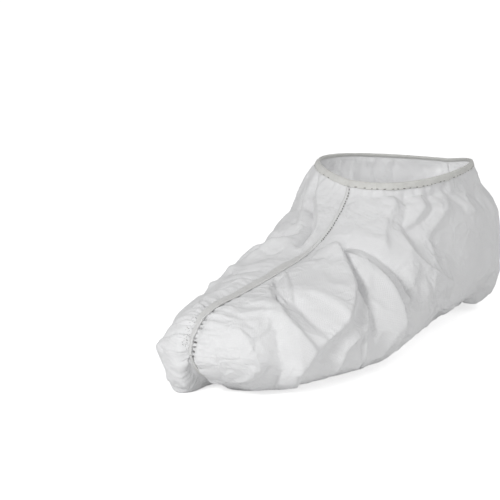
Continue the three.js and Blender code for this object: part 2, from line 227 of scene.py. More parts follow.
# Each fold runs over three points, given as station and angle. It stands out of the panel by height, or
# into it where that is negative, dies away over width, and lean makes one side of it steeper and the other
# broader: on a fold that runs down the side, +1 makes the slope towards the rim the steep one.
FOLD_COLUMNS = ("station0", "angle0", "station1", "angle1", "station2", "angle2", "width", "height", "lean")
NEAR_FOLDS = [
    # the bunch under the instep: two long ridges that sweep down and forwards, with deep valleys beside
    # them
    (8, 20, 7.75, 55, 7.25, 90, 8, 8.5, 0.85),
    (8.25, 15, 7.25, 40, 6.5, 80, 4, -5, 0),
    (8, 15, 6.5, 50, 5, 75, 6.5, 7.5, 0.8),
    (5, 80, 4.5, 85, 4, 100, 4, 2.5, 0.6),
    (8.75, 15, 9, 35, 8.75, 65, 6.5, -8, 0),
    (8.75, 15, 9.25, 25, 9.5, 35, 8, 2, 0),
    # the pleats between them, down to the lower edge
    (7.75, 40, 7, 55, 6.5, 80, 2.5, 1.5, 0.4),
    (6.75, 60, 6.25, 80, 6, 105, 3, 2.5, 0.3),
    (6.25, 80, 6, 95, 6.25, 120, 2.2, -2.5, 0),
    (6, 80, 5.5, 90, 5.25, 105, 2.5, 2, 0.5),
    (7.5, 80, 7, 90, 6.75, 100, 3, 1.2, 0.6),
    # the bowl in front of them, its rim and the swelling above
    (5.5, 30, 5.25, 50, 5, 80, 10, -6, 0),
    (5.75, 30, 6, 35, 5.75, 65, 4, 2.2, -0.5),
    (5.5, 10, 4.5, 40, 4.5, 80, 6, 3.5, 0.6),
    (7, 20, 6.5, 30, 6.5, 40, 8, 2, 0),
    # the puckers under the tape
    (6.25, 5, 5.75, 10, 5, 25, 3, -3, 0),
    (6, 5, 5.5, 15, 5.25, 25, 1.5, 1.8, 0.3),
    (6.5, 5, 6, 15, 5.5, 25, 1.5, 2, 0.4),
    # the lit facet on top of the toe, the creases below it and the round of the toe
    (4.5, 10, 4.5, 20, 4.5, 30, 5, 2, 0),
    (4.25, 35, 4, 30, 3.5, 25, 3.5, 2, 0.6),
    (4, 40, 3.5, 50, 2.5, 60, 1.2, 1, 0.3),
    (4, 50, 3.5, 80, 3.75, 130, 6, -3.5, 0.3),
    (2.75, 40, 2.5, 70, 2.75, 115, 7, 2, 0.6),
    (2.25, 150, 2.5, 135, 2.5, 110, 2.2, 1.6, 0),
    (2.5, 150, 2.75, 135, 3, 110, 2.2, -1.6, 0),
    # the lobes of the lower edge
    (3, 140, 3.75, 130, 4, 110, 8, 3, 0),
    (4, 100, 4, 110, 4.5, 130, 3, 1.8, 0.8),
    (4.5, 110, 4.75, 105, 5, 100, 7, 1.5, 0),
    (5.5, 115, 5.5, 120, 5.5, 125, 2.5, -2, 0),
    # below the binding: long straight pleats
    (15.5, 40, 13, 30, 9.5, 35, 6, 3.6, 0.5),
    (15, 45, 13.5, 40, 11.5, 40, 4.5, -2, 0),
    (15.5, 60, 14, 50, 12, 40, 5.5, 3.2, 0.6),
    (15.5, 70, 14.5, 60, 13, 50, 3.5, -1.8, 0),
    (15, 80, 14, 65, 12.5, 55, 5, 2, 0.5),
    (15, 100, 14.5, 90, 14, 90, 2.6, 1.2, 0.5),
    (15, 110, 14.5, 100, 14, 100, 1.6, -1.2, 0),
    (15.5, 130, 14.5, 125, 13.5, 125, 4, 1.6, 0.3),
    (15, 145, 14, 145, 13, 140, 4, -1.4, 0),
    # the side of the heel: the lower cloth stands proud of the upper along one broken crease
    (11.5, 40, 10.25, 55, 10.75, 85, 6, 3.4, 0.7),
    (11, 85, 10.75, 90, 10.25, 100, 4, 2.2, 0.6),
    (12.5, 50, 11.75, 60, 10.75, 70, 6, 1.6, 0.3),
    (12, 40, 11.25, 50, 10.5, 55, 4.5, -2, 0),
    (9.5, 90, 10, 105, 10.75, 115, 5, 1.6, 0),
    (12.75, 120, 12.25, 130, 11.5, 135, 7, 1.8, 0),
    # the back of the heel: pleats that fan down from the binding and a slack roll above the sole
    (15.5, 150, 13.75, 140, 12.25, 130, 4.5, 2.6, 0.5),
    (15.25, 165, 13.75, 155, 12.5, 145, 3.5, -2.2, 0),
    (15.5, 170, 14, 165, 12.5, 160, 3.5, 2, -0.4),
    (15.5, 115, 14, 110, 12.5, 110, 4.5, 2.2, 0.5),
    (15, 140, 13.5, 130, 12.5, 115, 3, -1.8, 0),
    (13.5, 170, 12.25, 150, 11.75, 130, 6, 2.4, 0.6),
    (12.5, 170, 11.75, 150, 11.25, 130, 4.5, -2.2, 0),
    (13, 100, 12.5, 115, 12.75, 135, 4.5, 1.8, 0.6),
]
FAR_FOLDS = [
    # the pleats that drop from the rim beside the seam, and the crumple at the rim
    (15.5, 35, 11.25, 20, 8.25, 10, 2.6, -5.5, 0),
    (15.5, 25, 10.5, 10, 8, 5, 3, 2.4, 0.5),
    (15, 55, 13.5, 40, 10.25, 30, 2.2, -2.4, 0),
    (15, 50, 13.25, 35, 10, 25, 2, 1.2, 0.6),
    (15.5, 55, 15.5, 40, 15.75, 30, 1.4, 1.4, 0),
    # the leaf-shaped bulges beside the tape, and the dents between them
    (3.75, 10, 4.25, 10, 4.75, 5, 1.5, -1.4, 0),
    (3.75, 15, 4.5, 20, 5.25, 10, 3.5, 1.8, 0),
    (6.25, 45, 6, 20, 6, 10, 1.4, -1.4, 0),
    (5, 30, 5.5, 20, 5.75, 15, 3.5, 1.6, 0),
    (6.75, 45, 6.5, 35, 6.5, 15, 1.6, -1.4, 0),
    (7, 50, 6.75, 25, 7, 15, 4, 1.8, 0),
    (7.75, 35, 7.5, 20, 7.75, 15, 1.2, -1, 0),
    (8, 40, 8.25, 30, 8.5, 20, 5, 1.8, 0),
    # the toe
    (2.5, 80, 1.5, 60, 1.25, 20, 1.6, -0.8, 0),
    (2, 90, 1.25, 70, 0.75, 40, 2.4, 0.8, 0),
    (3.25, 50, 2.5, 30, 2.25, 15, 1.2, -0.8, 0),
    (1.75, 125, 1.25, 140, 1.5, 160, 3.5, 1.2, 0.3),
    (2.5, 120, 2, 135, 2.25, 155, 2.6, -1, 0),
    (2, 75, 2.5, 90, 3, 105, 6, 2.2, 0.4),
    (3, 65, 3.5, 85, 4, 105, 6, -2.4, 0),
    # the hidden side, folded like the near one
    (8.25, 20, 7.75, 55, 7.5, 95, 6, 5.5, 0.8),
    (9, 25, 9, 45, 8.5, 75, 5, -5.5, 0),
    (8, 25, 6.75, 55, 5.5, 85, 5, 4.8, 0.7),
    (8.25, 25, 7.25, 50, 6.5, 85, 3.2, -3.6, 0),
    (6.5, 60, 6.25, 85, 6, 110, 2.4, 2.4, 0.3),
    (6, 80, 5.75, 95, 5.5, 115, 2.6, 2, 0.5),
    (5.5, 40, 5, 60, 5, 85, 10, -3.8, 0),
    (4.75, 35, 4.25, 60, 4.5, 90, 6, 3, 0.6),
    (9.5, 45, 9.5, 65, 9, 90, 6, 2.2, 0.4),
    (11.5, 45, 10.25, 60, 11, 85, 3.6, 2.8, 0.8),
    (11, 85, 10.75, 95, 10.25, 105, 2.6, 2, 0.8),
    (12, 95, 12, 110, 11.5, 120, 3, 1.4, 0.5),
    (3.25, 140, 4, 130, 4.25, 115, 8, 2.4, 0),
    (4.25, 100, 4.25, 110, 4.5, 130, 3, 1.8, 0.8),
    (7.5, 120, 7.5, 110, 7.75, 100, 5, 1.8, 0.4),
    (8.75, 120, 9, 110, 9.25, 100, 7, 2, 0),
    (10, 120, 10.25, 110, 10.5, 100, 5, -1.8, 0),
    (15.5, 65, 13.5, 60, 11.75, 50, 3.8, 2.8, 0.7),
    (15.25, 75, 13.75, 65, 12.75, 60, 2.6, -1.8, 0),
    (15.5, 90, 14, 80, 12.75, 75, 3.6, 2.4, 0.7),
    (15.5, 110, 14.25, 105, 13.25, 105, 3.6, 2, 0.5),
    (15.5, 135, 14.25, 135, 13.25, 140, 4, 1.6, 0.3),
    # the back of the heel
    (15.5, 160, 13.5, 150, 12, 135, 4.5, 2.6, 0.5),
    (15.25, 170, 13.75, 160, 12.5, 150, 3.5, -2, 0),
    (15.5, 120, 13.5, 120, 12.25, 110, 4.5, 2.2, 0.5),
    (13.25, 170, 12.25, 150, 11.5, 125, 6, 2.2, 0.6),
    (12.5, 165, 11.75, 145, 11, 125, 4.5, -2.2, 0),
    (13.25, 95, 12.75, 110, 13, 130, 5, 1.8, 0.6),
]
FOLD_SAMPLES = 25
FOLD_POWER = 1.4  # below 2 makes the crest of a fold sharper than a bell curve
FOLD_SKEW = 0.75


def quadratic(start, middle, end, t):
    """The curve of second degree through start at 0, middle at a half and end at 1."""
    return (1 - t) * (1 - 2 * t) * start + 4 * t * (1 - t) * middle + t * (2 * t - 1) * end


def nearest_on_line(points, line):
    """For each point, the distance to a row of points joined by straight steps, how far along the row
    the nearest place lies, in steps, and the way from that place to the point."""
    step = np.diff(line, axis=0)
    flat = points.reshape(-1, 3)
    best = np.full(len(flat), np.inf)
    place = np.zeros(len(flat))
    for number, (a, d) in enumerate(zip(line[:-1], step)):
        t = np.clip((flat - a) @ d / max(d @ d, TINY), 0, 1)
        reach = ((flat - a - t[:, None] * d) ** 2).sum(-1)
        nearer = reach < best
        best = np.where(nearer, reach, best)
        place = np.where(nearer, number + t, place)
    index = np.clip(place.astype(int), 0, len(step) - 1)
    foot = line[index] + (place - index)[:, None] * step[index]
    shape = points.shape[:-1]
    return np.sqrt(best).reshape(shape), place.reshape(shape), (flat - foot).reshape(points.shape)


def fold_push(points, normals, rows, side):
    """The sum of the folds. Each adds height * exp(-(distance / width)^FOLD_POWER), where the width
    shrinks by FOLD_SKEW * lean on the side to which the fold leans and grows as much on the other."""
    push = np.zeros(points.shape[:-1])
    t = np.linspace(0, 1, FOLD_SAMPLES)
    for values in rows:
        fold = dict(zip(FOLD_COLUMNS, values))
        station = quadratic(fold["station0"], fold["station1"], fold["station2"], t)
        angle = quadratic(fold["angle0"], fold["angle1"], fold["angle2"], t)
        line = tube(station, angle, side)
        distance, place, away = nearest_on_line(points, line)
        direction = np.gradient(line, axis=0)[np.clip(np.round(place).astype(int), 0, FOLD_SAMPLES - 1)]
        across = (np.cross(direction, away) * normals).sum(-1) * side
        tilt = across / np.maximum(np.linalg.norm(direction, axis=-1) * np.maximum(distance, TINY), TINY)
        width = fold["width"] * (1 - FOLD_SKEW * fold["lean"] * tilt)
        push += fold["height"] * np.exp(-((distance / width) ** FOLD_POWER))
    return push


LATTICE = 32  # corners of the noise along each axis, after which it repeats
FINER_NET, FINER_SHARE, NET_SHIFT = 2.1, 0.5, 17.0


def lattice_noise(points, cell, seed):
    """Values from 0 to 1 on a cubic lattice, blended between its corners with 3t^2 - 2t^3."""
    values = np.random.default_rng(seed).random((LATTICE, LATTICE, LATTICE))
    low = np.floor(points / cell).astype(int)
    t = smooth_step(points / cell - low)
    total = np.zeros(points.shape[:-1])
    for corner in np.ndindex(2, 2, 2):
        index = (low + corner) % LATTICE
        weight = np.prod(np.where(corner, t, 1 - t), axis=-1)
        total += weight * values[index[..., 0], index[..., 1], index[..., 2]]
    return total


def crumple(points, cell, seed):
    """Soft creases with sharp crests: (1 - |2n - 1|)^3, which is 1 where the noise n crosses a half, and
    FINER_SHARE as much of a second net that is FINER_NET times as fine and moved off the first."""
    coarse = 1 - np.abs(2 * lattice_noise(points, cell, seed) - 1)
    fine = 1 - np.abs(2 * lattice_noise(points + NET_SHIFT, cell / FINER_NET, seed + 1) - 1)
    return coarse**3 + FINER_SHARE * fine**3


# How a gather may differ from its row: its place by a share of the pitch, its width, reach and height by a
# factor. GATHER_LEAN is how far it leans, GATHERS_UP how many of them stand up, GATHER_FLARE how slowly it
# widens.
GATHER_SHIFT, GATHER_WIDTHS, GATHER_REACHES, GATHER_HEIGHTS = 0.35, (0.7, 1.4), (0.45, 1.5), (0.45, 1.3)
GATHER_LEAN, GATHERS_UP, GATHER_FLARE = 0.16, 0.6, 2.2


def gathers(along, away, spans, seed):
    """Puckers that stand across an edge. The spans have the columns start, end, pitch, width, reach and
    height. Each pucker adds height * exp(-((along - place - lean * away) / w)^2) * exp(-(away /
    reach)^2) at its own place along the edge, where w = width * (1 + away / (GATHER_FLARE * reach))
    widens away from it."""
    rng = np.random.default_rng(seed)
    push = np.zeros(along.shape)
    for start, end, pitch, width, reach, height in spans:
        count = max(int((end - start) / pitch), 1)
        shift = rng.uniform(-GATHER_SHIFT, GATHER_SHIFT, count)
        for place in start + (np.arange(count) + shift + 0.5) * (end - start) / count:
            wide = width * rng.uniform(*GATHER_WIDTHS)
            far = reach * rng.uniform(*GATHER_REACHES)
            lean = rng.normal(0, GATHER_LEAN)
            tall = height * rng.uniform(*GATHER_HEIGHTS) * (1 if rng.random() < GATHERS_UP else -1)
            offset = (along - place - lean * away) / (wide * (1 + away / (GATHER_FLARE * reach)))
            push += tall * np.exp(-(offset**2)) * np.exp(-((away / far) ** 2))
    return push


# ---------------- the two side panels

ROWS, COLUMNS = 300, 150
SEAM_STEPS = 260
ROUTE_SKIP = 4  # nearest places on the seam are looked for with every fourth point of its route
ROW_LINES = (25.0, 80.0, 150.0)
TOE_CROWD, TOE_CROWD_REACH = 1.3, 3.0
COLUMN_CROWD = 1.5
INSTEP_CROWD, INSTEP_REACH = 1.6, 18
SOLE_SEAM_CROWD, SOLE_SEAM_REACH = 0.6, 12
SOLE_THINNING, SOLE_TURN = 0.7, (120, 160)


def seam_route():
    """The seam as a row of points in its valley: down the instep, round the toe, along the sole and up
    the heel. The toe tip is where the first half ends."""
    stations = np.linspace(RIM, 0, SEAM_STEPS)
    return np.vstack([tube(stations, 0.0, NEAR), tube(stations[::-1][1:], 180.0, NEAR)])


def seam_dip(along, across, side):
    """How deep the cloth lies, for lengths along the seam and distances from it on one side:
    depth * (1 - (across / reach)^2)^2, which fades in below the rim."""
    place = np.interp(along, SEAM_LENGTH, SEAM_PLACE)
    reach = column_at(DIP, SIDE_NAME[side], place)
    from_rim = np.minimum(along, SEAM_END - along)
    shape = (1 - np.minimum(np.abs(across) / reach, 1) ** 2) ** 2
    return column_at(DIP, "depth", place) * shape * smooth_step(from_rim, *DIP_OFF_RIM)


def row_stations():
    """Stations that stand evenly along the sum of three lines from the toe to the rim, on which a step
    counts 1 + TOE_CROWD * exp(-(station / TOE_CROWD_REACH)^2) times, so that rows crowd round the toe
    tip."""
    fine = np.linspace(0, RIM, 1601)
    closer = 1 + TOE_CROWD * np.exp(-((fine[1:] / TOE_CROWD_REACH) ** 2))
    run = np.zeros(len(fine))
    for angle in ROW_LINES:
        line = tube(fine, angle, NEAR)
        run[1:] += np.cumsum(np.linalg.norm(np.diff(line, axis=0), axis=1) * closer)
    return np.interp(np.linspace(0, run[-1], ROWS), run, fine)


def column_angles():
    """Angles from the instep seam to the sole seam, as close as the sum of a steady weight, a bell curve
    at each seam and a step down on the sole: closest at the instep seam, where the puckers are, widest
    on the sole."""
    angle = np.linspace(0, 180, 721)
    weight = (COLUMN_CROWD + INSTEP_CROWD * np.exp(-((angle / INSTEP_REACH) ** 2))
              + SOLE_SEAM_CROWD * np.exp(-(((180 - angle) / SOLE_SEAM_REACH) ** 2))
              - SOLE_THINNING * smooth_step(angle, *SOLE_TURN))
    run = np.concatenate([[0], np.cumsum((weight[1:] + weight[:-1]) / 2)])
    return np.interp(np.linspace(0, run[-1], COLUMNS), run, angle)


SEAM_ROUTE = seam_route()
SEAM_LENGTH = lengths_along(SEAM_ROUTE)
SEAM_END = SEAM_LENGTH[-1]
SEAM_PLACE = np.concatenate([np.linspace(RIM, 0, SEAM_STEPS), -np.linspace(0, RIM, SEAM_STEPS)[1:]])
STATIONS = row_stations()
TOE_TIP = SEAM_LENGTH[SEAM_STEPS - 1]
SOLE_START = TOE_TIP + 28
HEEL_START = SEAM_END - 125

# Where effects fade in, in millimetres: from the rim, from the seam or above the floor.
FOLDS_OFF_RIM, FOLDS_OFF_SEAM, OFF_SOLE = (4.5, 16), (1.5, 9), (0.0, 6.0)
CRUMPLE_OFF_RIM, CRUMPLE_OFF_SEAM = (4, 12), (3, 12)
PLEATS_OFF_RIM, TUCKS_OFF_RIM = (3.2, 6.5), (3.6, 4.6)
FREE_OFF_RIM, FREE_OFF_TAPE, FREE_OFF_FLOOR = (4, 8), 4, (0.3, 3)
PUCKERS_OFF_TAPE, CREASES_OFF_TAPE, NOTCH_UNDER_TAPE = 2.5, 1.0, 0.9

# Broad and fine crumple: height, the size of a cell and the mean that is taken off.
BROAD_CRUMPLE, BROAD_CELL, BROAD_MEAN = 0.8, 34.0, 0.2
FINE_CRUMPLE, FINE_CELL, FINE_MEAN = 0.24, 11.0, 0.08
SOLE_CRUMPLE = 0.35  # the share of it that is left on the sole

# Gathers along the seam: start, end, pitch, width, reach and height.
SEAM_PUCKERS = [
    (12, 80, 8.0, 2.2, 6, 0.3),
    (80, 135, 6.0, 1.8, 9, 0.6),
    (135, TOE_TIP - 40, 5.5, 1.8, 10, 0.8),
    (TOE_TIP - 40, SOLE_START, 3.8, 1.3, 16, 0.75),
    (SOLE_START, HEEL_START, 9.0, 2.4, 9, 0.5),
    (HEEL_START, SEAM_END, 7.0, 2.0, 11, 0.7),
]
SEAM_NOTCHES = [
    (118, TOE_TIP - 70, 11.0, 1.0, 2.6, 2.4),
    (TOE_TIP - 70, TOE_TIP - 36, 6.0, 1.1, 2.8, 2.6),
    (TOE_TIP - 36, TOE_TIP + 6, 3.4, 0.75, 2.6, 2.2),
]
SEAM_CREASES = [
    (135, TOE_TIP - 44, 6.0, 0.8, 10, 0.45),
    (TOE_TIP - 44, SOLE_START, 3.0, 0.7, 16, 0.6),
    (SOLE_START, HEEL_START, 9.0, 1.6, 8, 0.4),
    (HEEL_START, SEAM_END - 8, 6.0, 1.3, 8, 0.5),
]
NOTCH_SHARE = {NEAR: 1.0, FAR: 0.3}
TUCK_START, TALLEST_TUCK = 4, 0.25
PANEL_SHIFT = 0.1  # each panel stands this far off the seam plane

# The painted shade of the cleft beside the near edge of the tape, round the toe tip: where it starts and
# ends along the seam, how wide it is, and its waves. A notch is painted dark as shade from the first to
# the second depth.
CLEFT_START, CLEFT_END = (TOE_TIP - 2, TOE_TIP + 3), (SOLE_START + 2, SOLE_START + 8)
CLEFT_WIDTH, CLEFT_LEAST, CLEFT_WAVES, CLEFT_PACE = (0.1, 0.9), 0.6, 0.4, 1.3
NOTCH_SHADE = (0.7, 1.8)

CLOTH_GROWTH, RELAX_FRAMES = 0.010, 10
LEAST_HOLD, HOLD_LEVELS, TIP_ROWS = 0.05, 20, 2
CLOTH_SETTINGS = dict(
    quality=5, mass=0.02, air_damping=2, tension_stiffness=25, compression_stiffness=25, shear_stiffness=8,
    bending_stiffness=0.5, tension_damping=8, compression_damping=8, shear_damping=8, bending_damping=0.5,
    vertex_group_mass="held", pin_stiffness=1, shrink_min=-CLOTH_GROWTH, shrink_max=-CLOTH_GROWTH)


def places_on_panel(points, side):
    """How far each point of a panel lies from the seam and where along it, the same for the rim, and how
    far the tape reaches onto the panel there."""
    seam_away, place, _ = nearest_on_line(points, SEAM_ROUTE[::ROUTE_SKIP])
    seam_along = np.interp(place * ROUTE_SKIP, np.arange(len(SEAM_LENGTH)), SEAM_LENGTH)
    ring_run = np.linalg.norm(np.diff(points, axis=0), axis=-1)
    rim_away = np.vstack([np.cumsum(ring_run[::-1], axis=0)[::-1], np.zeros((1, points.shape[1]))])
    rim_along = np.broadcast_to(lengths_along(points[-1]), rim_away.shape)
    tape_edge = column_at(TAPE, SIDE_NAME[side], np.interp(seam_along, SEAM_LENGTH, SEAM_PLACE))
    return seam_away, seam_along, rim_away, rim_along, tape_edge


def panel_points(side, folds, seed):
    """The outside of a panel as a grid of points. The tube moves along its normals by the folds less the
    seam valley, then along the new normals by gathers and crumple. After the cloth has relaxed it moves
    by fine creases, tucks and crumple less the notches where it is drawn in under the tape. The floor
    stays its lowest place. Also gives the painted shade of each point, from 0 to 1: how dark its colour
    is painted in a notch or in the cleft beside the tape."""
    station, angle = np.meshgrid(STATIONS, column_angles(), indexing="ij")
    points = tube(station, angle, side)
    normals = grid_normals(points, side)
    seam_away, seam_along, rim_away, rim_along, tape_edge = places_on_panel(points, side)
    rim_length = rim_along[0, -1]

    off_sole = smooth_step(points[..., 2], *OFF_SOLE)
    push = fold_push(points, normals, folds, side)
    push *= smooth_step(rim_away, *FOLDS_OFF_RIM) * off_sole * smooth_step(seam_away, *FOLDS_OFF_SEAM)
    valley = seam_dip(seam_along, (SEAM_Y - points[..., 1]) * side, side)
    points = points + normals * (push - valley)[..., None]

    normals = grid_normals(points, side)
    puckers = gathers(seam_along, seam_away, SEAM_PUCKERS, seed)
    rim_pleats = [(0, rim_length, 5.0, 1.3, 13, 0.9), (4, rim_length - 4, 12.0, 2.4, 26, 0.9)]
    pleats = gathers(rim_along, rim_away, rim_pleats, seed + 1)
    off_edges = (smooth_step(seam_away, *CRUMPLE_OFF_SEAM) * smooth_step(rim_away, *CRUMPLE_OFF_RIM)
                 * (SOLE_CRUMPLE + (1 - SOLE_CRUMPLE) * off_sole))
    push = (puckers * smooth_step(seam_away, tape_edge, tape_edge + PUCKERS_OFF_TAPE)
            + pleats * smooth_step(rim_away, *PLEATS_OFF_RIM)
            + (BROAD_CRUMPLE * crumple(points, BROAD_CELL, seed + 2) - BROAD_MEAN) * off_edges)
    points = points + normals * push[..., None]

    free = (smooth_step(seam_away, tape_edge, tape_edge + FREE_OFF_TAPE)
            * smooth_step(rim_away, *FREE_OFF_RIM) * smooth_step(points[..., 2], *FREE_OFF_FLOOR))
    hold = np.maximum(1 - free, LEAST_HOLD)
    points[TIP_ROWS:] = relax(points[TIP_ROWS:], hold[TIP_ROWS:])

    normals = grid_normals(points, side)
    beyond = np.maximum(seam_away - tape_edge, 0)
    notch = np.abs(gathers(seam_along, beyond, SEAM_NOTCHES, seed + 6)) * NOTCH_SHARE[side]
    notch *= smooth_step(seam_away, tape_edge - NOTCH_UNDER_TAPE, tape_edge)
    creases = gathers(seam_along, beyond, SEAM_CREASES, seed + 7)
    rim_tucks = [(2, rim_length - 2, 5.2, 0.9, 7, 0.5)]
    tucks = gathers(rim_along, np.maximum(rim_away - TUCK_START, 0), rim_tucks, seed + 8)
    push = (creases * smooth_step(seam_away, tape_edge, tape_edge + CREASES_OFF_TAPE) - notch
            + np.minimum(tucks, TALLEST_TUCK) * smooth_step(rim_away, *TUCKS_OFF_RIM)
            + (FINE_CRUMPLE * crumple(points, FINE_CELL, seed + 4) - FINE_MEAN) * off_edges)
    points = points + normals * push[..., None]
    points[..., 2] = np.maximum(points[..., 2], 0.0)
    points[..., 1] -= side * PANEL_SHIFT

    # painted shade: how dark the colour is painted in a deep notch, and round the toe tip in the cleft
    # beside the tape
    pit_shade = smooth_step(notch, *NOTCH_SHADE)
    if side == NEAR:
        cleft_shade = smooth_step(seam_along, *CLEFT_START) * (1 - smooth_step(seam_along, *CLEFT_END))
        cleft_shade *= 1 - smooth_step(beyond, *CLEFT_WIDTH)
        cleft_shade *= CLEFT_LEAST + CLEFT_WAVES * np.sin(seam_along * CLEFT_PACE)
        pit_shade = np.clip(np.maximum(pit_shade, cleft_shade), 0, 1)
    return points, pit_shade


def mesh_from_quads(name, points, quads, uv=None, merge=None, marks=None):
    """A smooth-shaded mesh in metres from points in millimetres and the four corners of each face.
    Points closer than merge are joined. marks are values for each point, under the names that a material
    reads them by."""
    mesh = bpy.data.meshes.new(name)
    mesh.vertices.add(len(points))
    mesh.vertices.foreach_set("co", (points * MM).astype(np.float32).ravel())
    mesh.loops.add(quads.size)
    mesh.loops.foreach_set("vertex_index", quads.astype(np.int32).ravel())
    mesh.polygons.add(len(quads))
    mesh.polygons.foreach_set("loop_start", np.arange(0, quads.size, 4, dtype=np.int32))
    mesh.update(calc_edges=True)
    if uv is not None:
        layer = mesh.uv_layers.new(name="cloth")
        layer.data.foreach_set("uv", uv.reshape(-1, 2)[quads.ravel()].astype(np.float32).ravel())
    for mark, values in (marks or {}).items():
        layer = mesh.attributes.new(mark, "FLOAT", "POINT")
        layer.data.foreach_set("value", np.ascontiguousarray(values, np.float32).ravel())
    mesh.polygons.foreach_set("use_smooth", np.ones(len(quads), bool))
    if merge:
        work = bmesh.new()
        work.from_mesh(mesh)
        bmesh.ops.remove_doubles(work, verts=work.verts, dist=merge * MM)
        work.to_mesh(mesh)
        work.free()
    mesh.validate()
    piece = bpy.data.objects.new(name, mesh)
    bpy.context.scene.collection.objects.link(piece)
    return piece


def mesh_from_grid(name, points, closed_rows=False, closed_columns=False, flip=False, caps=False, **more):
    """A mesh from a grid of points: four-sided faces between neighbours, the last row or column joined
    to the first where that direction is closed. Caps close both ends of a tube with a row of strips."""
    rows, columns = points.shape[:2]
    number = np.arange(rows * columns).reshape(rows, columns)
    here, down = (number, np.roll(number, -1, axis=0)) if closed_rows else (number[:-1], number[1:])
    quads = np.stack([here, np.roll(here, -1, 1), np.roll(down, -1, 1), down], -1)
    quads = (quads if closed_columns else quads[:, :-1]).reshape(-1, 4)
    if caps:
        half = columns // 2
        left, right = np.arange(half), columns - 1 - np.arange(half)
        strip = np.stack([left[:-1], right[:-1], right[1:], left[1:]], -1)
        quads = np.vstack([quads, strip, (strip + number[-1, 0])[:, ::-1]])
    return mesh_from_quads(name, points.reshape(-1, 3), quads[:, ::-1] if flip else quads, **more)


def relax(points, hold):
    """The grid after Blender's cloth has let it buckle: its springs grow a little while hold, a share
    from 0 to 1, pins each point to its place."""
    piece = mesh_from_grid("relaxing", points)
    group = piece.vertex_groups.new(name=CLOTH_SETTINGS["vertex_group_mass"])
    levels = np.round(hold.ravel() * HOLD_LEVELS).astype(int)
    for level in range(HOLD_LEVELS + 1):
        group.add(np.flatnonzero(levels == level).tolist(), level / HOLD_LEVELS, "REPLACE")
    cloth = piece.modifiers.new("cloth", "CLOTH")
    for setting, value in CLOTH_SETTINGS.items():
        setattr(cloth.settings, setting, value)
    cloth.settings.effector_weights.gravity = 0
    cloth.collision_settings.use_collision = False
    cloth.collision_settings.use_self_collision = False
    scene = bpy.context.scene
    for frame_number in range(1, RELAX_FRAMES + 1):
        scene.frame_set(frame_number)
    settled = piece.evaluated_get(bpy.context.evaluated_depsgraph_get()).data
    place = np.empty(len(settled.vertices) * 3, np.float32)
    settled.vertices.foreach_get("co", place)
    bpy.data.objects.remove(piece)
    scene.frame_set(1)
    return place.reshape(points.shape).astype(float) / MM


def cloth_uv(points):
    """Distances in metres along and across the cloth, so that a weave keeps its size: the mean length
    along the rows and the length down each ring."""
    along = np.cumsum(np.linalg.norm(np.diff(points, axis=0), axis=-1).mean(axis=1))
    across = np.cumsum(np.linalg.norm(np.diff(points, axis=1), axis=-1), axis=1)
    across = np.hstack([np.zeros((len(points), 1)), across])
    return np.stack(np.broadcast_arrays(np.concatenate([[0], along])[:, None], across), -1) * MM


def sew_on(piece, node=None):
    """Lets a piece ride on the one body and stand for its CAD node if it has one, hiding that node."""
    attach(piece, "root")
    if node:
        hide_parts(node)
    return piece


CLOTH, MERGE = 0.45, 0.001


def side_panel(name, node, side, folds, seed):
    """A panel: its grid of points with a wall of CLOTH inwards, whose inside has the second material."""
    points, pit_shade = panel_points(side, folds, seed)
    piece = mesh_from_grid(name, points, flip=side == FAR, merge=MERGE, uv=cloth_uv(points),
                           marks={"pit_shade": pit_shade})
    wall = piece.modifiers.new("cloth", "SOLIDIFY")
    wall.thickness = CLOTH * MM
    wall.offset = -1
    wall.material_offset = wall.material_offset_rim = 1
    return sew_on(piece, node), points


near_panel, near_points = side_panel("near_side_panel", "near_panel", NEAR, NEAR_FOLDS, 11)
far_panel, far_points = side_panel("far_side_panel", "far_panel", FAR, FAR_FOLDS, 47)


# ---------------- the seam tape

TAPE_STEP = 0.45
TAPE_GAP, TAPE_THINNEST = 0.12, 0.03
RIM_CLEAR = 4.6
TAPE_SHARES = np.array([[0, 0.02, 0.06, 0.12, 0.2, 0.3, 0.42, 0.56, 0.7, 0.84, 0.95, 1.0]])
EDGE_POWER, NEAR_EDGE_RISE, FAR_EDGE_FALL = 10, 1.15, 0.35
RIDGE_WIDTH, RIDGE_BEAD, BEAD_PITCH = 0.95, 0.06, 1.65
# How much each part of the tape wanders, over what pitch, and its seed.
NEAR_WANDER, FAR_WANDER = (0.10, 4.0, 5), (0.07, 7.0, 6)
RIDGE_WANDER, TOP_WANDER = (0.12, 5.0, 7), (0.05, 2.6, 8)


def seam_line(along):
    """Points of the seam before its dip, at given lengths from the front of the rim, with the outward
    direction in the seam plane and the direction of travel."""
    point = np.stack([np.interp(along, SEAM_LENGTH, SEAM_ROUTE[:, axis]) for axis in range(3)], -1)
    travel = np.gradient(point, axis=0)
    travel[1:-1] = (travel[:-2] + travel[1:-1] + travel[2:]) / 3
    travel = unit(travel)
    return point, np.stack([travel[:, 2], np.zeros(len(along)), -travel[:, 0]], -1), travel


def seam_surface(along, across, lift):
    """Points over the seam: the seam line moved across it, to the far side where across is positive,
    down into the dip and outwards by lift."""
    point, outward, _ = seam_line(along)
    run = np.broadcast_to(along[:, None], across.shape)
    dip = np.where(across < 0, seam_dip(run, across, NEAR), seam_dip(run, across, FAR))
    points = point[:, None] + outward[:, None] * (lift - dip)[..., None]
    points[..., 1] = SEAM_Y + across
    return points


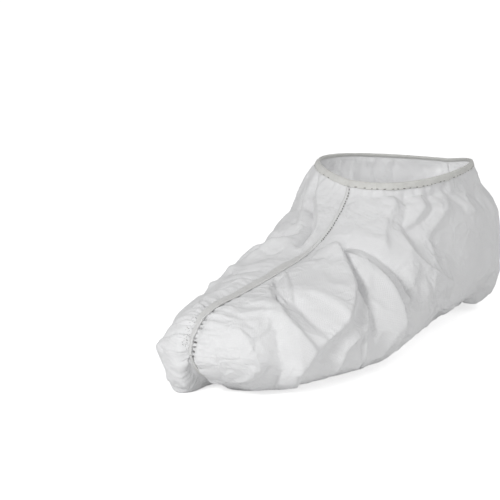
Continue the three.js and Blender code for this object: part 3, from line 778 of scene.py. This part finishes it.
def seam_tape():
    """The tape as a closed flat tube carried along the seam. Over the cloth its top stands
    flat * edge + ridge * exp(-(across / RIDGE_WIDTH)^2), where edge is sqrt(1 - |2s - 1|^EDGE_POWER) at
    the share s of its width, less on the far side. The underside keeps TAPE_GAP clear, and the ridge is
    beaded by its stitches."""
    run = np.arange(RIM_CLEAR, SEAM_END - RIM_CLEAR, TAPE_STEP)[:, None]
    place = np.interp(run, SEAM_LENGTH, SEAM_PLACE)
    near, far, ridge, flat, pale = [column_at(TAPE, name, place) for name in TAPE if name != "place"]
    near = near + wander(run, *NEAR_WANDER)
    far = far * (1 + wander(run, *FAR_WANDER))
    ridge = ridge * (1 + RIDGE_BEAD * np.sin(run * 2 * math.pi / BEAD_PITCH) + wander(run, *RIDGE_WANDER))
    share = TAPE_SHARES
    edge = np.sqrt(np.clip(1 - np.abs(2 * share - 1) ** EDGE_POWER, 0, 1))
    edge = edge * (NEAR_EDGE_RISE - FAR_EDGE_FALL * share)
    across = -near + share * (near + far)
    under = -near + share[:, -2:0:-1] * (near + far)
    rise = flat * edge + ridge * np.exp(-((across / RIDGE_WIDTH) ** 2)) * (edge > 0)
    rise = rise + wander(run, *TOP_WANDER) * edge
    top = seam_surface(run[:, 0], across, TAPE_GAP + TAPE_THINNEST + rise)
    below = seam_surface(run[:, 0], under, np.full(under.shape, TAPE_GAP))
    points = np.concatenate([top, below], axis=1)
    uv = np.stack(np.broadcast_arrays(run, np.concatenate([across, under], axis=1)), -1) * MM
    piece = mesh_from_grid("seam_tape_strip", points, closed_columns=True, caps=True, uv=uv,
                           marks={"pale": np.broadcast_to(pale, points.shape[:2])})
    return sew_on(piece, "seam_tape")


STITCH_REACH = np.array([-1, -0.9, -0.5, 0.0, 0.5, 0.9, 1])
STITCH_SIDES = 6
STITCH_SIZES, STITCH_TILT = (0.8, 1.15), 0.12


def thread_stitches(name, centres, along, out, length, radius, seed):
    """Short thread stitches, one at each centre: an ellipsoid with its long axis along, half sunk in the
    cloth under it. With a from -1 to 1, a point of it is
    centre + along * length / 2 * a + (out * sin + side * cos) * radius * sqrt(1 - a^2)."""
    rng = np.random.default_rng(seed)
    count, rows = len(centres), len(STITCH_REACH)
    side = np.cross(along, out)
    turn = np.linspace(0, 2 * math.pi, STITCH_SIDES + 1)[:-1]
    a = STITCH_REACH[None, :, None, None]
    c, s = np.cos(turn)[None, None, :, None], np.sin(turn)[None, None, :, None]
    size = rng.uniform(*STITCH_SIZES, count)[:, None, None, None]
    tilt = rng.normal(0, STITCH_TILT, count)[:, None, None, None]
    axis = along[:, None, None] + side[:, None, None] * tilt
    length, radius = [np.broadcast_to(value, count)[:, None, None, None] for value in (length, radius)]
    points = (centres[:, None, None] + axis * (length / 2) * size * a
              + (out[:, None, None] * s + side[:, None, None] * c) * radius * np.sqrt(1 - a * a))
    number = np.arange(count * rows * STITCH_SIDES).reshape(count, rows, STITCH_SIDES)
    beside = np.roll(number, -1, 2)
    quads = np.stack([number[:, :-1], number[:, 1:], beside[:, 1:], beside[:, :-1]], -1)
    piece = mesh_from_quads(name, points.reshape(-1, 3), quads.reshape(-1, 4), merge=0.0005)
    return sew_on(piece)


def on_panel(points, side, station, distance):
    """Points of a finished panel at given stations and distances from its instep seam, with the normals
    there and the direction along the seam."""
    row = np.round(np.interp(station, STATIONS, np.arange(ROWS))).astype(int).clip(1, ROWS - 2)
    ring = points[row]
    run = np.cumsum(np.linalg.norm(np.diff(ring, axis=1), axis=-1), axis=1)
    column = (run < distance[:, None]).sum(axis=1).clip(1, COLUMNS - 2)
    pick = np.arange(len(row))
    start, end = run[pick, column - 1], run[pick, column]
    t = ((distance - start) / (end - start)).clip(0, 1)[:, None]
    place = ring[pick, column] * (1 - t) + ring[pick, column + 1] * t
    travel = unit(points[row - 1, column] - points[row + 1, column])
    return place, grid_normals(points, side)[row, column], travel


# The line of stitches on the near shoulder of the ridge: pitch, unevenness, place of its lower end, and how
# far it lies across the seam and above the cloth.
RIDGE_PITCH, RIDGE_SHIFT, RIDGE_END = 2.1, 0.18, 8.5
RIDGE_ACROSS, RIDGE_LIFT = -1.25, 0.42
RIDGE_LENGTHS, RIDGE_RADII = (0.7, 1.0), (0.3, 0.42)
# The lines of small ones beyond the tape on the toe: how many, their stations, and how far out each line
# lies.
TOE_COUNT, TOE_STATIONS, TOE_SHIFT = 18, (0.5, 2.7), 0.09
TOE_LINES, TOE_SCATTER = (0.9, 2.2, 3.6), 0.5
TAPE_STATIONS, TAPE_EDGES = (0.4, 2.5), (1.4, 3.4)
TOE_LENGTHS, TOE_RADII = (0.3, 0.5), (0.13, 0.2)
STITCH_LIFT = 0.04


def seam_stitches():
    """The stitches: one line on the near shoulder of the ridge from the rim to the bend, and three
    scattered lines of small ones beyond the tape on the far side of the toe."""
    rng = np.random.default_rng(12)
    bend = np.interp(-RIDGE_END, -SEAM_PLACE[:SEAM_STEPS], SEAM_LENGTH[:SEAM_STEPS])
    run = np.arange(RIM_CLEAR + 1.5, bend, RIDGE_PITCH)
    run = run + rng.normal(0, RIDGE_SHIFT, len(run))
    upper = seam_surface(run, np.full((len(run), 1), RIDGE_ACROSS), np.full((len(run), 1), RIDGE_LIFT))[:, 0]
    ridge = (upper, *seam_line(run)[1:])
    evenly = np.linspace(*TOE_STATIONS, TOE_COUNT)
    stations = [evenly + rng.normal(0, TOE_SHIFT, TOE_COUNT) for _ in TOE_LINES]
    gaps = [np.interp(row, TAPE_STATIONS, TAPE_EDGES) + out + rng.normal(0, TOE_SCATTER, TOE_COUNT)
            for row, out in zip(stations, TOE_LINES)]
    toe = on_panel(far_points, FAR, np.concatenate(stations), np.concatenate(gaps))
    places, outs, travels = [np.concatenate(pair) for pair in zip(ridge, toe)]
    counts = len(run), len(places) - len(run)
    length, radius = [np.concatenate([rng.uniform(*ends, count) for ends, count in zip(pair, counts)])
                      for pair in ((RIDGE_LENGTHS, TOE_LENGTHS), (RIDGE_RADII, TOE_RADII))]
    return thread_stitches("seam_stitches", places + outs * STITCH_LIFT, travels, outs, length, radius, 3)


# ---------------- the elastic binding of the rim

BINDING_STEP = 0.5
# The section of the binding: how far down the cloth from its edge, and how far out from the cloth's
# outside.
BINDING_SECTION = np.array([
    (4.00, 0.22), (4.08, 0.55), (3.95, 0.85), (3.40, 0.98), (2.60, 1.02), (1.60, 1.05),
    (0.60, 1.00), (-0.20, 0.82), (-0.75, 0.40), (-0.95, -0.20), (-0.80, -0.80), (-0.25, -1.18),
    (0.50, -1.28), (1.30, -1.25), (1.60, -1.10), (1.62, -0.80), (1.20, -0.68), (0.20, -0.66),
    (-0.20, -0.45), (-0.22, -0.05), (0.10, 0.20), (1.20, 0.22), (2.60, 0.22),
])
OUTER_SKIN, LOWER_EDGE = (0.3, 0.8), (1.5, 4.0)
LAP_END, LAP_LENGTH, LAP_HEIGHT = 1.2, 20.0, 0.45
LAP_RAMP, LAP_BRINK = 3, (0.4, 0.1)
SEAM_EASE = (3, 8)
EDGE_WAVES = (0.28, 6.5, 21), (0.14, 2.6, 22)
RIB_HEIGHT, RIB_PITCH, RIB_WANDER = 0.11, 1.6, (0.24, 3.4, 23)
RIM_DEPTHS = np.linspace(-1, 5, 13)
EDGE_ROWS, SMOOTHINGS = 4, 12
STITCH_DEPTH, STITCH_OUT, LAP_OUT = 3.5, 0.95, 0.45
STITCH_STEPS, LAST_STITCH = (7, 13), 6
BINDING_STITCH_LENGTH, BINDING_STITCH_RADIUS = 1.9, 0.24


def depth_row(depth):
    """Where a depth below the rim lies among RIM_DEPTHS, in steps."""
    return (depth - RIM_DEPTHS[0]) / (RIM_DEPTHS[1] - RIM_DEPTHS[0])


def round_loop(values, run, along):
    """A closed loop's values at each length along it, by straight steps between its points."""
    closed = np.vstack([values, values[:1]])
    return np.stack([np.interp(along, run, closed[:, axis]) for axis in range(3)], -1)


def rim_loop():
    """The rim as one closed loop, from the front seam round the near side to the heel and back along the
    far side: the cloth at each of RIM_DEPTHS below its edge, where depths over the edge go on straight
    up, the smoothed outward normal, the length to each point and the length of the whole loop."""
    skins, normals = [], []
    for points, side in ((near_points, NEAR), (far_points, FAR)):
        up = points[-1] - points[-1 - EDGE_ROWS]
        step = np.linalg.norm(up, axis=-1) / EDGE_ROWS
        row = len(points) - 1 - np.maximum(RIM_DEPTHS, 0)[:, None] / step
        skin = between_rows(points, row, np.arange(points.shape[1])[None, :])
        skin = skin - np.minimum(RIM_DEPTHS, 0)[:, None, None] * unit(up)
        normal = grid_normals(points, side)[-1]
        if side == FAR:
            skin, normal = skin[:, ::-1], normal[::-1]
        skins.append(skin[:, 1:-1])
        normals.append(normal[1:-1])
    skin, normal = np.concatenate(skins, axis=1), np.concatenate(normals)
    edge = skin[int(np.argmin(np.abs(RIM_DEPTHS)))]
    run = lengths_along(np.vstack([edge, edge[:1]]))
    count = int(run[-1] / BINDING_STEP)
    along = np.arange(count) * run[-1] / count
    skin = np.stack([round_loop(level, run, along) for level in skin])
    normal = round_loop(normal, run, along)
    for _ in range(SMOOTHINGS):
        normal = (np.roll(normal, 1, 0) + normal * 2 + np.roll(normal, -1, 0)) / 4
    return skin, unit(normal), along, run[-1]


def ankle_binding():
    """The binding as its section carried round the rim, each point at the cloth's place at its depth
    plus the normal times its distance out. Its lower edge wanders, and its outside is ribbed by
    RIB_HEIGHT * sin(2 pi along / RIB_PITCH), wanders too, and stands out by LAP_HEIGHT where its end is
    lapped over its start beside the front seam. The wandering dies away at that seam, where the loop
    closes."""
    skin, normal, along, length = rim_loop()
    run = along[:, None]
    down, out = BINDING_SECTION.T[:, None]
    outer, lower = smooth_step(out, *OUTER_SKIN), smooth_step(down, *LOWER_EDGE)
    lap_start, lap_end = length - LAP_LENGTH, length - LAP_END
    lap = (smooth_step(run, lap_start - LAP_RAMP, lap_start)
           * (1 - smooth_step(run, lap_end - LAP_BRINK[0], lap_end + LAP_BRINK[1])))
    free = smooth_step(run, *SEAM_EASE) * smooth_step(length - run, *SEAM_EASE)
    depth = down + lower * sum(wander(run, *wave) for wave in EDGE_WAVES) * free
    push = outer * (RIB_HEIGHT * np.sin(run * 2 * math.pi / RIB_PITCH) + wander(run, *RIB_WANDER) * free)
    push = out + push + LAP_HEIGHT * lap * outer
    points = between_rows(skin, depth_row(depth), np.arange(len(along))[:, None])
    points = points + normal[:, None] * push[..., None]
    uv = np.stack(np.broadcast_arrays(run, lengths_along(BINDING_SECTION)[None, :]), -1) * MM
    piece = mesh_from_grid("ankle_binding_band", points, closed_rows=True, closed_columns=True, flip=True,
                           uv=uv)
    sew_on(piece, "ankle_binding")

    rows = np.cumsum(np.random.default_rng(31).integers(*STITCH_STEPS, len(along) // 10))
    rows = rows[rows < len(along) - LAST_STITCH]
    level = skin[int(round(depth_row(STITCH_DEPTH)))]
    travel = unit(np.roll(level, -1, 0) - np.roll(level, 1, 0))
    centres = level[rows] + normal[rows] * (STITCH_OUT + LAP_OUT * lap[rows])
    threads = thread_stitches("binding_stitches", centres, travel[rows], normal[rows],
                              BINDING_STITCH_LENGTH, BINDING_STITCH_RADIUS, 9)
    return piece, threads


tape = seam_tape()
tape_threads = seam_stitches()
binding, binding_threads = ankle_binding()


# ---------------- materials

VECTOR_MATH = "ShaderNodeVectorMath"

# Colours: the darker and the paler tone of each mottle, the embossed lines, the thread, whose dark tones
# are painted shade, and marks on the surface, among them the near black of painted shade in the notches and
# the cleft.
CLOTH_TONES, CLOTH_LINES = ((0.86, 0.862, 0.868, 1), (0.885, 0.886, 0.89, 1)), (0.74, 0.745, 0.76, 1)
TRIM_TONES, TRIM_LINES = ((0.81, 0.808, 0.778, 1), (0.88, 0.878, 0.85, 1)), (0.66, 0.655, 0.625, 1)
# painted shade: the thread tones are near black for the shade in needle holes and gaps, though the thread is
# white
THREAD_SHADE_TONES = (0.09, 0.085, 0.075, 1), (0.22, 0.21, 0.19, 1)
PIT_SHADE_COLOUR, PALE_TRIM, WHITE = (0.16, 0.155, 0.15, 1), (0.875, 0.877, 0.875, 1), (1, 1, 1, 1)
CLOTH_LINE_SHARE, TRIM_LINE_SHARE, PIT_SHADE_SHARE, MOTTLE_SHARE = 0.15, 0.25, 0.85, 0.7
MOTTLE_RANGE, FIBRE_RANGE = (0.35, 0.65), (0.3, 0.7)

# Sizes in metres: the pitch of the embossed grid, and the height of each bump with its strength.
CLOTH_PITCH, TRIM_PITCH, CREASE_CELL = 0.0014, 0.0009, 0.011
CREASE_BUMP, CLOTH_LINE_BUMP, CLOTH_FIBRE_BUMP = (0.0007, 0.6), (0.00014, 0.6), (0.00015, 0.5)
TRIM_LINE_BUMP, TRIM_FIBRE_BUMP, THREAD_BUMP = (0.0004, 0.7), (0.00012, 0.5), (0.0001, 0.6)
CLOTH_TURN = 0.75

# Painted light on the inside of the cloth, a glow that stands in for light let through it: its strength,
# and between which heights and lengths it grows from faint to full.
INSIDE_PAINTED_GLOW, FAINT = 0.24, 0.1
GLOW_Z, GLOW_X = (0.05, 0.085), (0.05, 0.11)


class Graph:
    """Adds nodes to a tree and joins them, so that a material reads as a few lines of formula. Each
    value is a number, a colour or the socket of another node."""

    def __init__(self, tree):
        self.tree = tree

    def feed(self, value, socket):
        """Links the socket to a value that is a socket, and sets it to any other."""
        if isinstance(value, bpy.types.NodeSocket):
            self.tree.links.new(value, socket)
        else:
            socket.default_value = value

    def node(self, kind, *values, **named):
        """A node. Its properties go by their names, its inputs in turn or by their names with in_ before
        them."""
        made = self.tree.nodes.new(kind)
        for name, value in named.items():
            if name.startswith("in_"):
                self.feed(value, made.inputs[name[3:].replace("_", " ")])
            else:
                setattr(made, name, value)
        for value, socket in zip(values, made.inputs):
            self.feed(value, socket)
        return made

    def math(self, operation, *values, kind="ShaderNodeMath"):
        """The result of one operation on the values."""
        return self.node(kind, *values, operation=operation).outputs[0]

    def blend(self, share, low, high):
        """low * (1 - share) + high * share for two colours."""
        made = self.node("ShaderNodeMix", data_type="RGBA", in_Factor=share, in_A=low, in_B=high)
        return made.outputs["Result"]

    def ranged(self, value, start, end, low=0.0, high=1.0):
        """low up to start, high from end and a straight line between them."""
        return self.node("ShaderNodeMapRange", value, start, end, low, high).outputs["Result"]

    def noise(self, place, scale, detail, roughness=0.5):
        """Blender's noise texture, with its number from 0 to 1 as Fac."""
        return self.node("ShaderNodeTexNoise", in_Vector=place, in_Scale=scale, in_Detail=detail,
                         in_Roughness=roughness).outputs

    def group(self, tree, **values):
        """The outputs of a node group with its own values."""
        made = self.node("ShaderNodeGroup", node_tree=tree)
        for name, value in values.items():
            self.feed(value, made.inputs[name])
        return made.outputs

    def bumps(self, *layers):
        """A normal bumped by each height in turn, given with its distance and strength."""
        normal = None
        for height, (distance, strength) in layers:
            made = self.node("ShaderNodeBump", in_Height=height, in_Distance=distance, in_Strength=strength)
            if normal:
                self.feed(normal, made.inputs["Normal"])
            normal = made.outputs["Normal"]
        return normal


def new_group(name, inputs, outputs):
    """A shader node group with named number inputs beside its Vector, and named number outputs."""
    tree = bpy.data.node_groups.new(name, "ShaderNodeTree")
    tree.interface.new_socket("Vector", in_out="INPUT", socket_type="NodeSocketVector")
    for label, value in inputs.items():
        tree.interface.new_socket(label, in_out="INPUT", socket_type="NodeSocketFloat").default_value = value
    for label in outputs:
        tree.interface.new_socket(label, in_out="OUTPUT", socket_type="NodeSocketFloat")
    given, result = tree.nodes.new("NodeGroupInput").outputs, tree.nodes.new("NodeGroupOutput").inputs
    return tree, Graph(tree), given, result


def crosshatch_group():
    """The embossed grid of the cloth, 1 - |sin(pi x / pitch)|^0.6 * |sin(pi y / pitch)|^0.6 on a turned
    surface: from 0 between the lines to 1 on them."""
    line_power = 0.6
    tree, g, given, result = new_group("crosshatch", {"Pitch": CLOTH_PITCH, "Turn": CLOTH_TURN}, ["Height"])
    turned = g.node("ShaderNodeVectorRotate", given["Vector"], rotation_type="Z_AXIS",
                    in_Angle=given["Turn"])
    parts = g.node("ShaderNodeSeparateXYZ", turned.outputs[0]).outputs
    lines = []
    for part in (parts["X"], parts["Y"]):
        phase = g.math("MULTIPLY", g.math("DIVIDE", part, given["Pitch"]), math.pi)
        lines.append(g.math("POWER", g.math("ABSOLUTE", g.math("SINE", phase)), line_power))
    g.feed(g.math("SUBTRACT", 1.0, g.math("MULTIPLY", *lines)), result["Height"])
    return tree


def fibre_group():
    """Spunbonded fibres: the mean of two fine noises, each drawn out along its own direction, and a
    broad soft mottle."""
    tree, g, given, result = new_group("fibres", {"Scale": 1.0}, ["Height", "Mottle"])
    layers = []
    for turn, stretch in (((0.3, 0.2, 0.5), (2600, 700, 900)), ((1.1, 0.7, 2.2), (800, 2400, 700))):
        placed = g.node("ShaderNodeMapping", in_Vector=given["Vector"], in_Rotation=turn, in_Scale=stretch)
        layers.append(g.noise(placed.outputs[0], given["Scale"], 3.0, 0.6)["Fac"])
    g.feed(g.math("MULTIPLY", g.math("ADD", *layers), 0.5), result["Height"])
    g.feed(g.noise(given["Vector"], 160.0, 4.0, 0.65)["Fac"], result["Mottle"])
    return tree


def crinkle_group():
    """Small sharp creases: the net between cells that a noise has warped, 1 on a crease and 0 from
    crease_width of a cell away from it, kept to patches where a soft noise is high."""
    warp_amount, crease_width, patches = 0.012, 0.22, (0.42, 0.62)
    tree, g, given, result = new_group("crinkle", {"Size": CREASE_CELL}, ["Height"])
    place = given["Vector"]
    centred = g.math("SUBTRACT", g.noise(place, 90.0, 2.0)["Color"], (0.5, 0.5, 0.5), kind=VECTOR_MATH)
    warp = g.node(VECTOR_MATH, centred, operation="SCALE", in_Scale=warp_amount).outputs[0]
    cells = g.node("ShaderNodeTexVoronoi", feature="DISTANCE_TO_EDGE",
                   in_Vector=g.math("ADD", place, warp, kind=VECTOR_MATH),
                   in_Scale=g.math("DIVIDE", 1.0, given["Size"]))
    crest = g.ranged(cells.outputs["Distance"], 0.0, crease_width, 1.0, 0.0)
    kept = g.ranged(g.noise(place, 38.0, 1.0)["Fac"], *patches)
    g.feed(g.math("MULTIPLY", crest, kept), result["Height"])
    return tree


CROSSHATCH, FIBRES, CRINKLE = crosshatch_group(), fibre_group(), crinkle_group()


def new_material(owner, shader, **values):
    """The graph and the shader of a new material or world, whose own sockets are set, with _ for each
    space."""
    owner.use_nodes = True
    shader = owner.node_tree.nodes[shader]
    for name, value in values.items():
        shader.inputs[name.replace("_", " ")].default_value = value
    return Graph(owner.node_tree), shader.inputs


def surface_material(name, **values):
    """A new material, its graph, the sockets of its shader and the place on the object."""
    material = bpy.data.materials.new(name)
    g, shader = new_material(material, "Principled BSDF", **values)
    return material, g, shader, g.node("ShaderNodeTexCoord").outputs["Object"]


def crosshatch(g, pitch, turn=0.0):
    """The height of the embossed grid, laid on the cloth's own map."""
    return g.group(CROSSHATCH, Vector=g.node("ShaderNodeUVMap", uv_map="cloth").outputs["UV"], Pitch=pitch,
                   Turn=turn)["Height"]


def white_nonwoven(name, painted_glow=0.0):
    """Thin white spunbonded cloth: a cool white with a faint mottle, an embossed crosshatch, fibres and
    small creases in its surface, and painted shade, near black, in the notches and the cleft. A glow above
    0 is painted light: its inside glows by emission, as though lit through the thin cloth, more towards
    the rim and towards the heel."""
    material, g, shader, place = surface_material(name, Sheen_Weight=0.12, Sheen_Roughness=0.5,
                                                  Specular_IOR_Level=0.35)
    hatch = crosshatch(g, CLOTH_PITCH, CLOTH_TURN)
    fibres = g.group(FIBRES, Vector=place, Scale=1.0)
    crease = g.group(CRINKLE, Vector=place, Size=CREASE_CELL)["Height"]
    tone = g.math("ADD", g.math("MULTIPLY", fibres["Mottle"], MOTTLE_SHARE),
                  g.math("MULTIPLY", fibres["Height"], 1 - MOTTLE_SHARE))
    cloth = g.blend(g.ranged(tone, *MOTTLE_RANGE), *CLOTH_TONES)
    lined = g.blend(g.math("MULTIPLY", hatch, CLOTH_LINE_SHARE), cloth, CLOTH_LINES)
    # painted shade: the pit mark blends the colour towards near black in the notches and the cleft
    pit_shade = g.math("MULTIPLY", g.node("ShaderNodeAttribute", attribute_name="pit_shade").outputs["Fac"], PIT_SHADE_SHARE)
    g.feed(g.blend(pit_shade, lined, PIT_SHADE_COLOUR), shader["Base Color"])
    g.feed(g.ranged(fibres["Height"], *FIBRE_RANGE, 0.62, 0.82), shader["Roughness"])
    g.feed(g.bumps((crease, CREASE_BUMP), (hatch, CLOTH_LINE_BUMP), (fibres["Height"], CLOTH_FIBRE_BUMP)),
           shader["Normal"])
    # painted light: the inside glows by emission, stronger towards the rim and the heel, as though lit
    # through the thin cloth
    if painted_glow:
        parts = g.node("ShaderNodeSeparateXYZ", place).outputs
        high = g.ranged(parts["Z"], *GLOW_Z, FAINT, 1.0)
        back = g.ranged(parts["X"], *GLOW_X, FAINT, 1.0)
        shader["Emission Color"].default_value = WHITE
        g.feed(g.math("MULTIPLY", g.math("MULTIPLY", high, back), painted_glow), shader["Emission Strength"])
    return material


def cream_tape():
    """The cream trim: a tighter embossed grid on a mottled cloth, which fades to white where the mark
    pale says."""
    material, g, shader, place = surface_material("cream_trim", Sheen_Weight=0.1, Specular_IOR_Level=0.35)
    hatch = crosshatch(g, TRIM_PITCH)
    fibres = g.group(FIBRES, Vector=place, Scale=1.6)
    cloth = g.blend(g.ranged(fibres["Mottle"], *MOTTLE_RANGE), *TRIM_TONES)
    cloth = g.blend(g.node("ShaderNodeAttribute", attribute_name="pale").outputs["Fac"], cloth, PALE_TRIM)
    g.feed(g.blend(g.math("MULTIPLY", hatch, TRIM_LINE_SHARE), cloth, TRIM_LINES), shader["Base Color"])
    g.feed(g.ranged(fibres["Height"], *FIBRE_RANGE, 0.6, 0.8), shader["Roughness"])
    g.feed(g.bumps((hatch, TRIM_LINE_BUMP), (fibres["Height"], TRIM_FIBRE_BUMP)), shader["Normal"])
    return material


def thread_painted_dark():
    """Thread painted dark: the real thread is white, and its two dark tones, which follow its fibres, are
    painted shade of the needle holes and gaps beside the stitches.
    """
    material, g, shader, place = surface_material("thread_painted_dark", Roughness=0.65)
    fibre = g.group(FIBRES, Vector=place, Scale=2.2)["Height"]
    g.feed(g.blend(g.ranged(fibre, *FIBRE_RANGE), *THREAD_SHADE_TONES), shader["Base Color"])
    g.feed(g.bumps((fibre, THREAD_BUMP)), shader["Normal"])
    return material


OUTSIDE, INSIDE = white_nonwoven("white_nonwoven"), white_nonwoven("white_nonwoven_inside_painted_glow", INSIDE_PAINTED_GLOW)
CREAM, SHADED_THREAD = cream_tape(), thread_painted_dark()
for panel in (near_panel, far_panel):
    panel.data.materials.append(OUTSIDE)
    panel.data.materials.append(INSIDE)
for pieces, material in (((tape, binding), CREAM), ((tape_threads, binding_threads), SHADED_THREAD)):
    for piece in pieces:
        piece.data.materials.append(material)


# ---------------- floor, light and camera

FLOOR_REACH, FLOOR_COLOUR, FLOOR_GLOW = 4000, (0.85, 0.85, 0.85, 1), 0.68
SKY_STRENGTH = 0.38
KEY_PLACE, KEY_AIM = Vector((-1.10, 0.0, 0.62)), Vector((0, 0, 0.05))
SUN_SPREAD = math.radians(40)


def pale_floor():
    """A wide flat floor. What the camera sees of it also glows by FLOOR_GLOW, so that it stays as pale
    as the world behind it."""
    ends = np.array([-FLOOR_REACH, FLOOR_REACH], float)
    x, y = np.meshgrid(ends, ends, indexing="ij")
    floor = mesh_from_grid("floor", np.stack([x, y, np.zeros((2, 2))], -1), flip=True)
    material = bpy.data.materials.new("pale_floor")
    g, shader = new_material(material, "Principled BSDF", Base_Color=FLOOR_COLOUR, Roughness=0.9,
                             Emission_Color=WHITE)
    seen = g.node("ShaderNodeLightPath").outputs["Is Camera Ray"]
    g.feed(g.math("MULTIPLY", seen, FLOOR_GLOW), shader["Emission Strength"])
    floor.data.materials.append(material)


def white_world():
    """Even white light from all round, of SKY_STRENGTH, which the camera sees as full white."""
    world = bpy.data.worlds.new("studio")
    g, background = new_material(world, "Background", Color=WHITE)
    seen = g.node("ShaderNodeLightPath").outputs["Is Camera Ray"]
    g.feed(g.math("MAXIMUM", seen, SKY_STRENGTH), background["Strength"])
    bpy.context.scene.world = world


def add_light(name, kind, power, direction, place=(0, 0, 0), **shape):
    """A light of that kind at a place, turned so that it shines along direction."""
    data = bpy.data.lights.new(name, kind)
    data.energy = power
    for key, value in shape.items():
        setattr(data, key, value)
    light = bpy.data.objects.new(name, data)
    light.location = place
    light.rotation_euler = Vector(direction).to_track_quat("-Z", "Y").to_euler()
    bpy.context.scene.collection.objects.link(light)


VIEW_AZIMUTH, VIEW_ELEVATION = math.radians(-59), math.radians(13)
VIEW_DISTANCE = 1.5
VIEW_CENTRE = Vector((-0.006, 0.003, 0.050))
VIEW_LEFT, VIEW_UP = 0.05467, 0.012  # the camera aims this far to the left of the centre and above it
LENS, SENSOR = 162, 36


def add_camera():
    """A long lens at VIEW_DISTANCE from the centre, at the azimuth and elevation of the view."""
    back = Vector((math.sin(VIEW_AZIMUTH) * math.cos(VIEW_ELEVATION),
                   -math.cos(VIEW_AZIMUTH) * math.cos(VIEW_ELEVATION), math.sin(VIEW_ELEVATION)))
    right = Vector((math.cos(VIEW_AZIMUTH), math.sin(VIEW_AZIMUTH), 0))
    data = bpy.data.cameras.new("camera")
    data.lens = LENS
    data.sensor_width = SENSOR
    data.clip_start = 0.05
    camera = bpy.data.objects.new("camera", data)
    camera.location = VIEW_CENTRE + back * VIEW_DISTANCE
    aim = VIEW_CENTRE - right * VIEW_LEFT + back.cross(right) * VIEW_UP
    camera.rotation_euler = (aim - camera.location).to_track_quat("-Z", "Y").to_euler()
    bpy.context.scene.collection.objects.link(camera)
    bpy.context.scene.camera = camera


pale_floor()
white_world()
add_light("key", "AREA", 6.0, KEY_AIM - KEY_PLACE, KEY_PLACE, size=0.28)
add_light("fill", "SUN", 0.55, (-0.19, 0.96, -0.21), angle=SUN_SPREAD)
add_light("top", "SUN", 0.15, (-0.1, 0.6, -0.8), angle=SUN_SPREAD)
add_camera()
bpy.context.scene.view_settings.view_transform = "Standard"
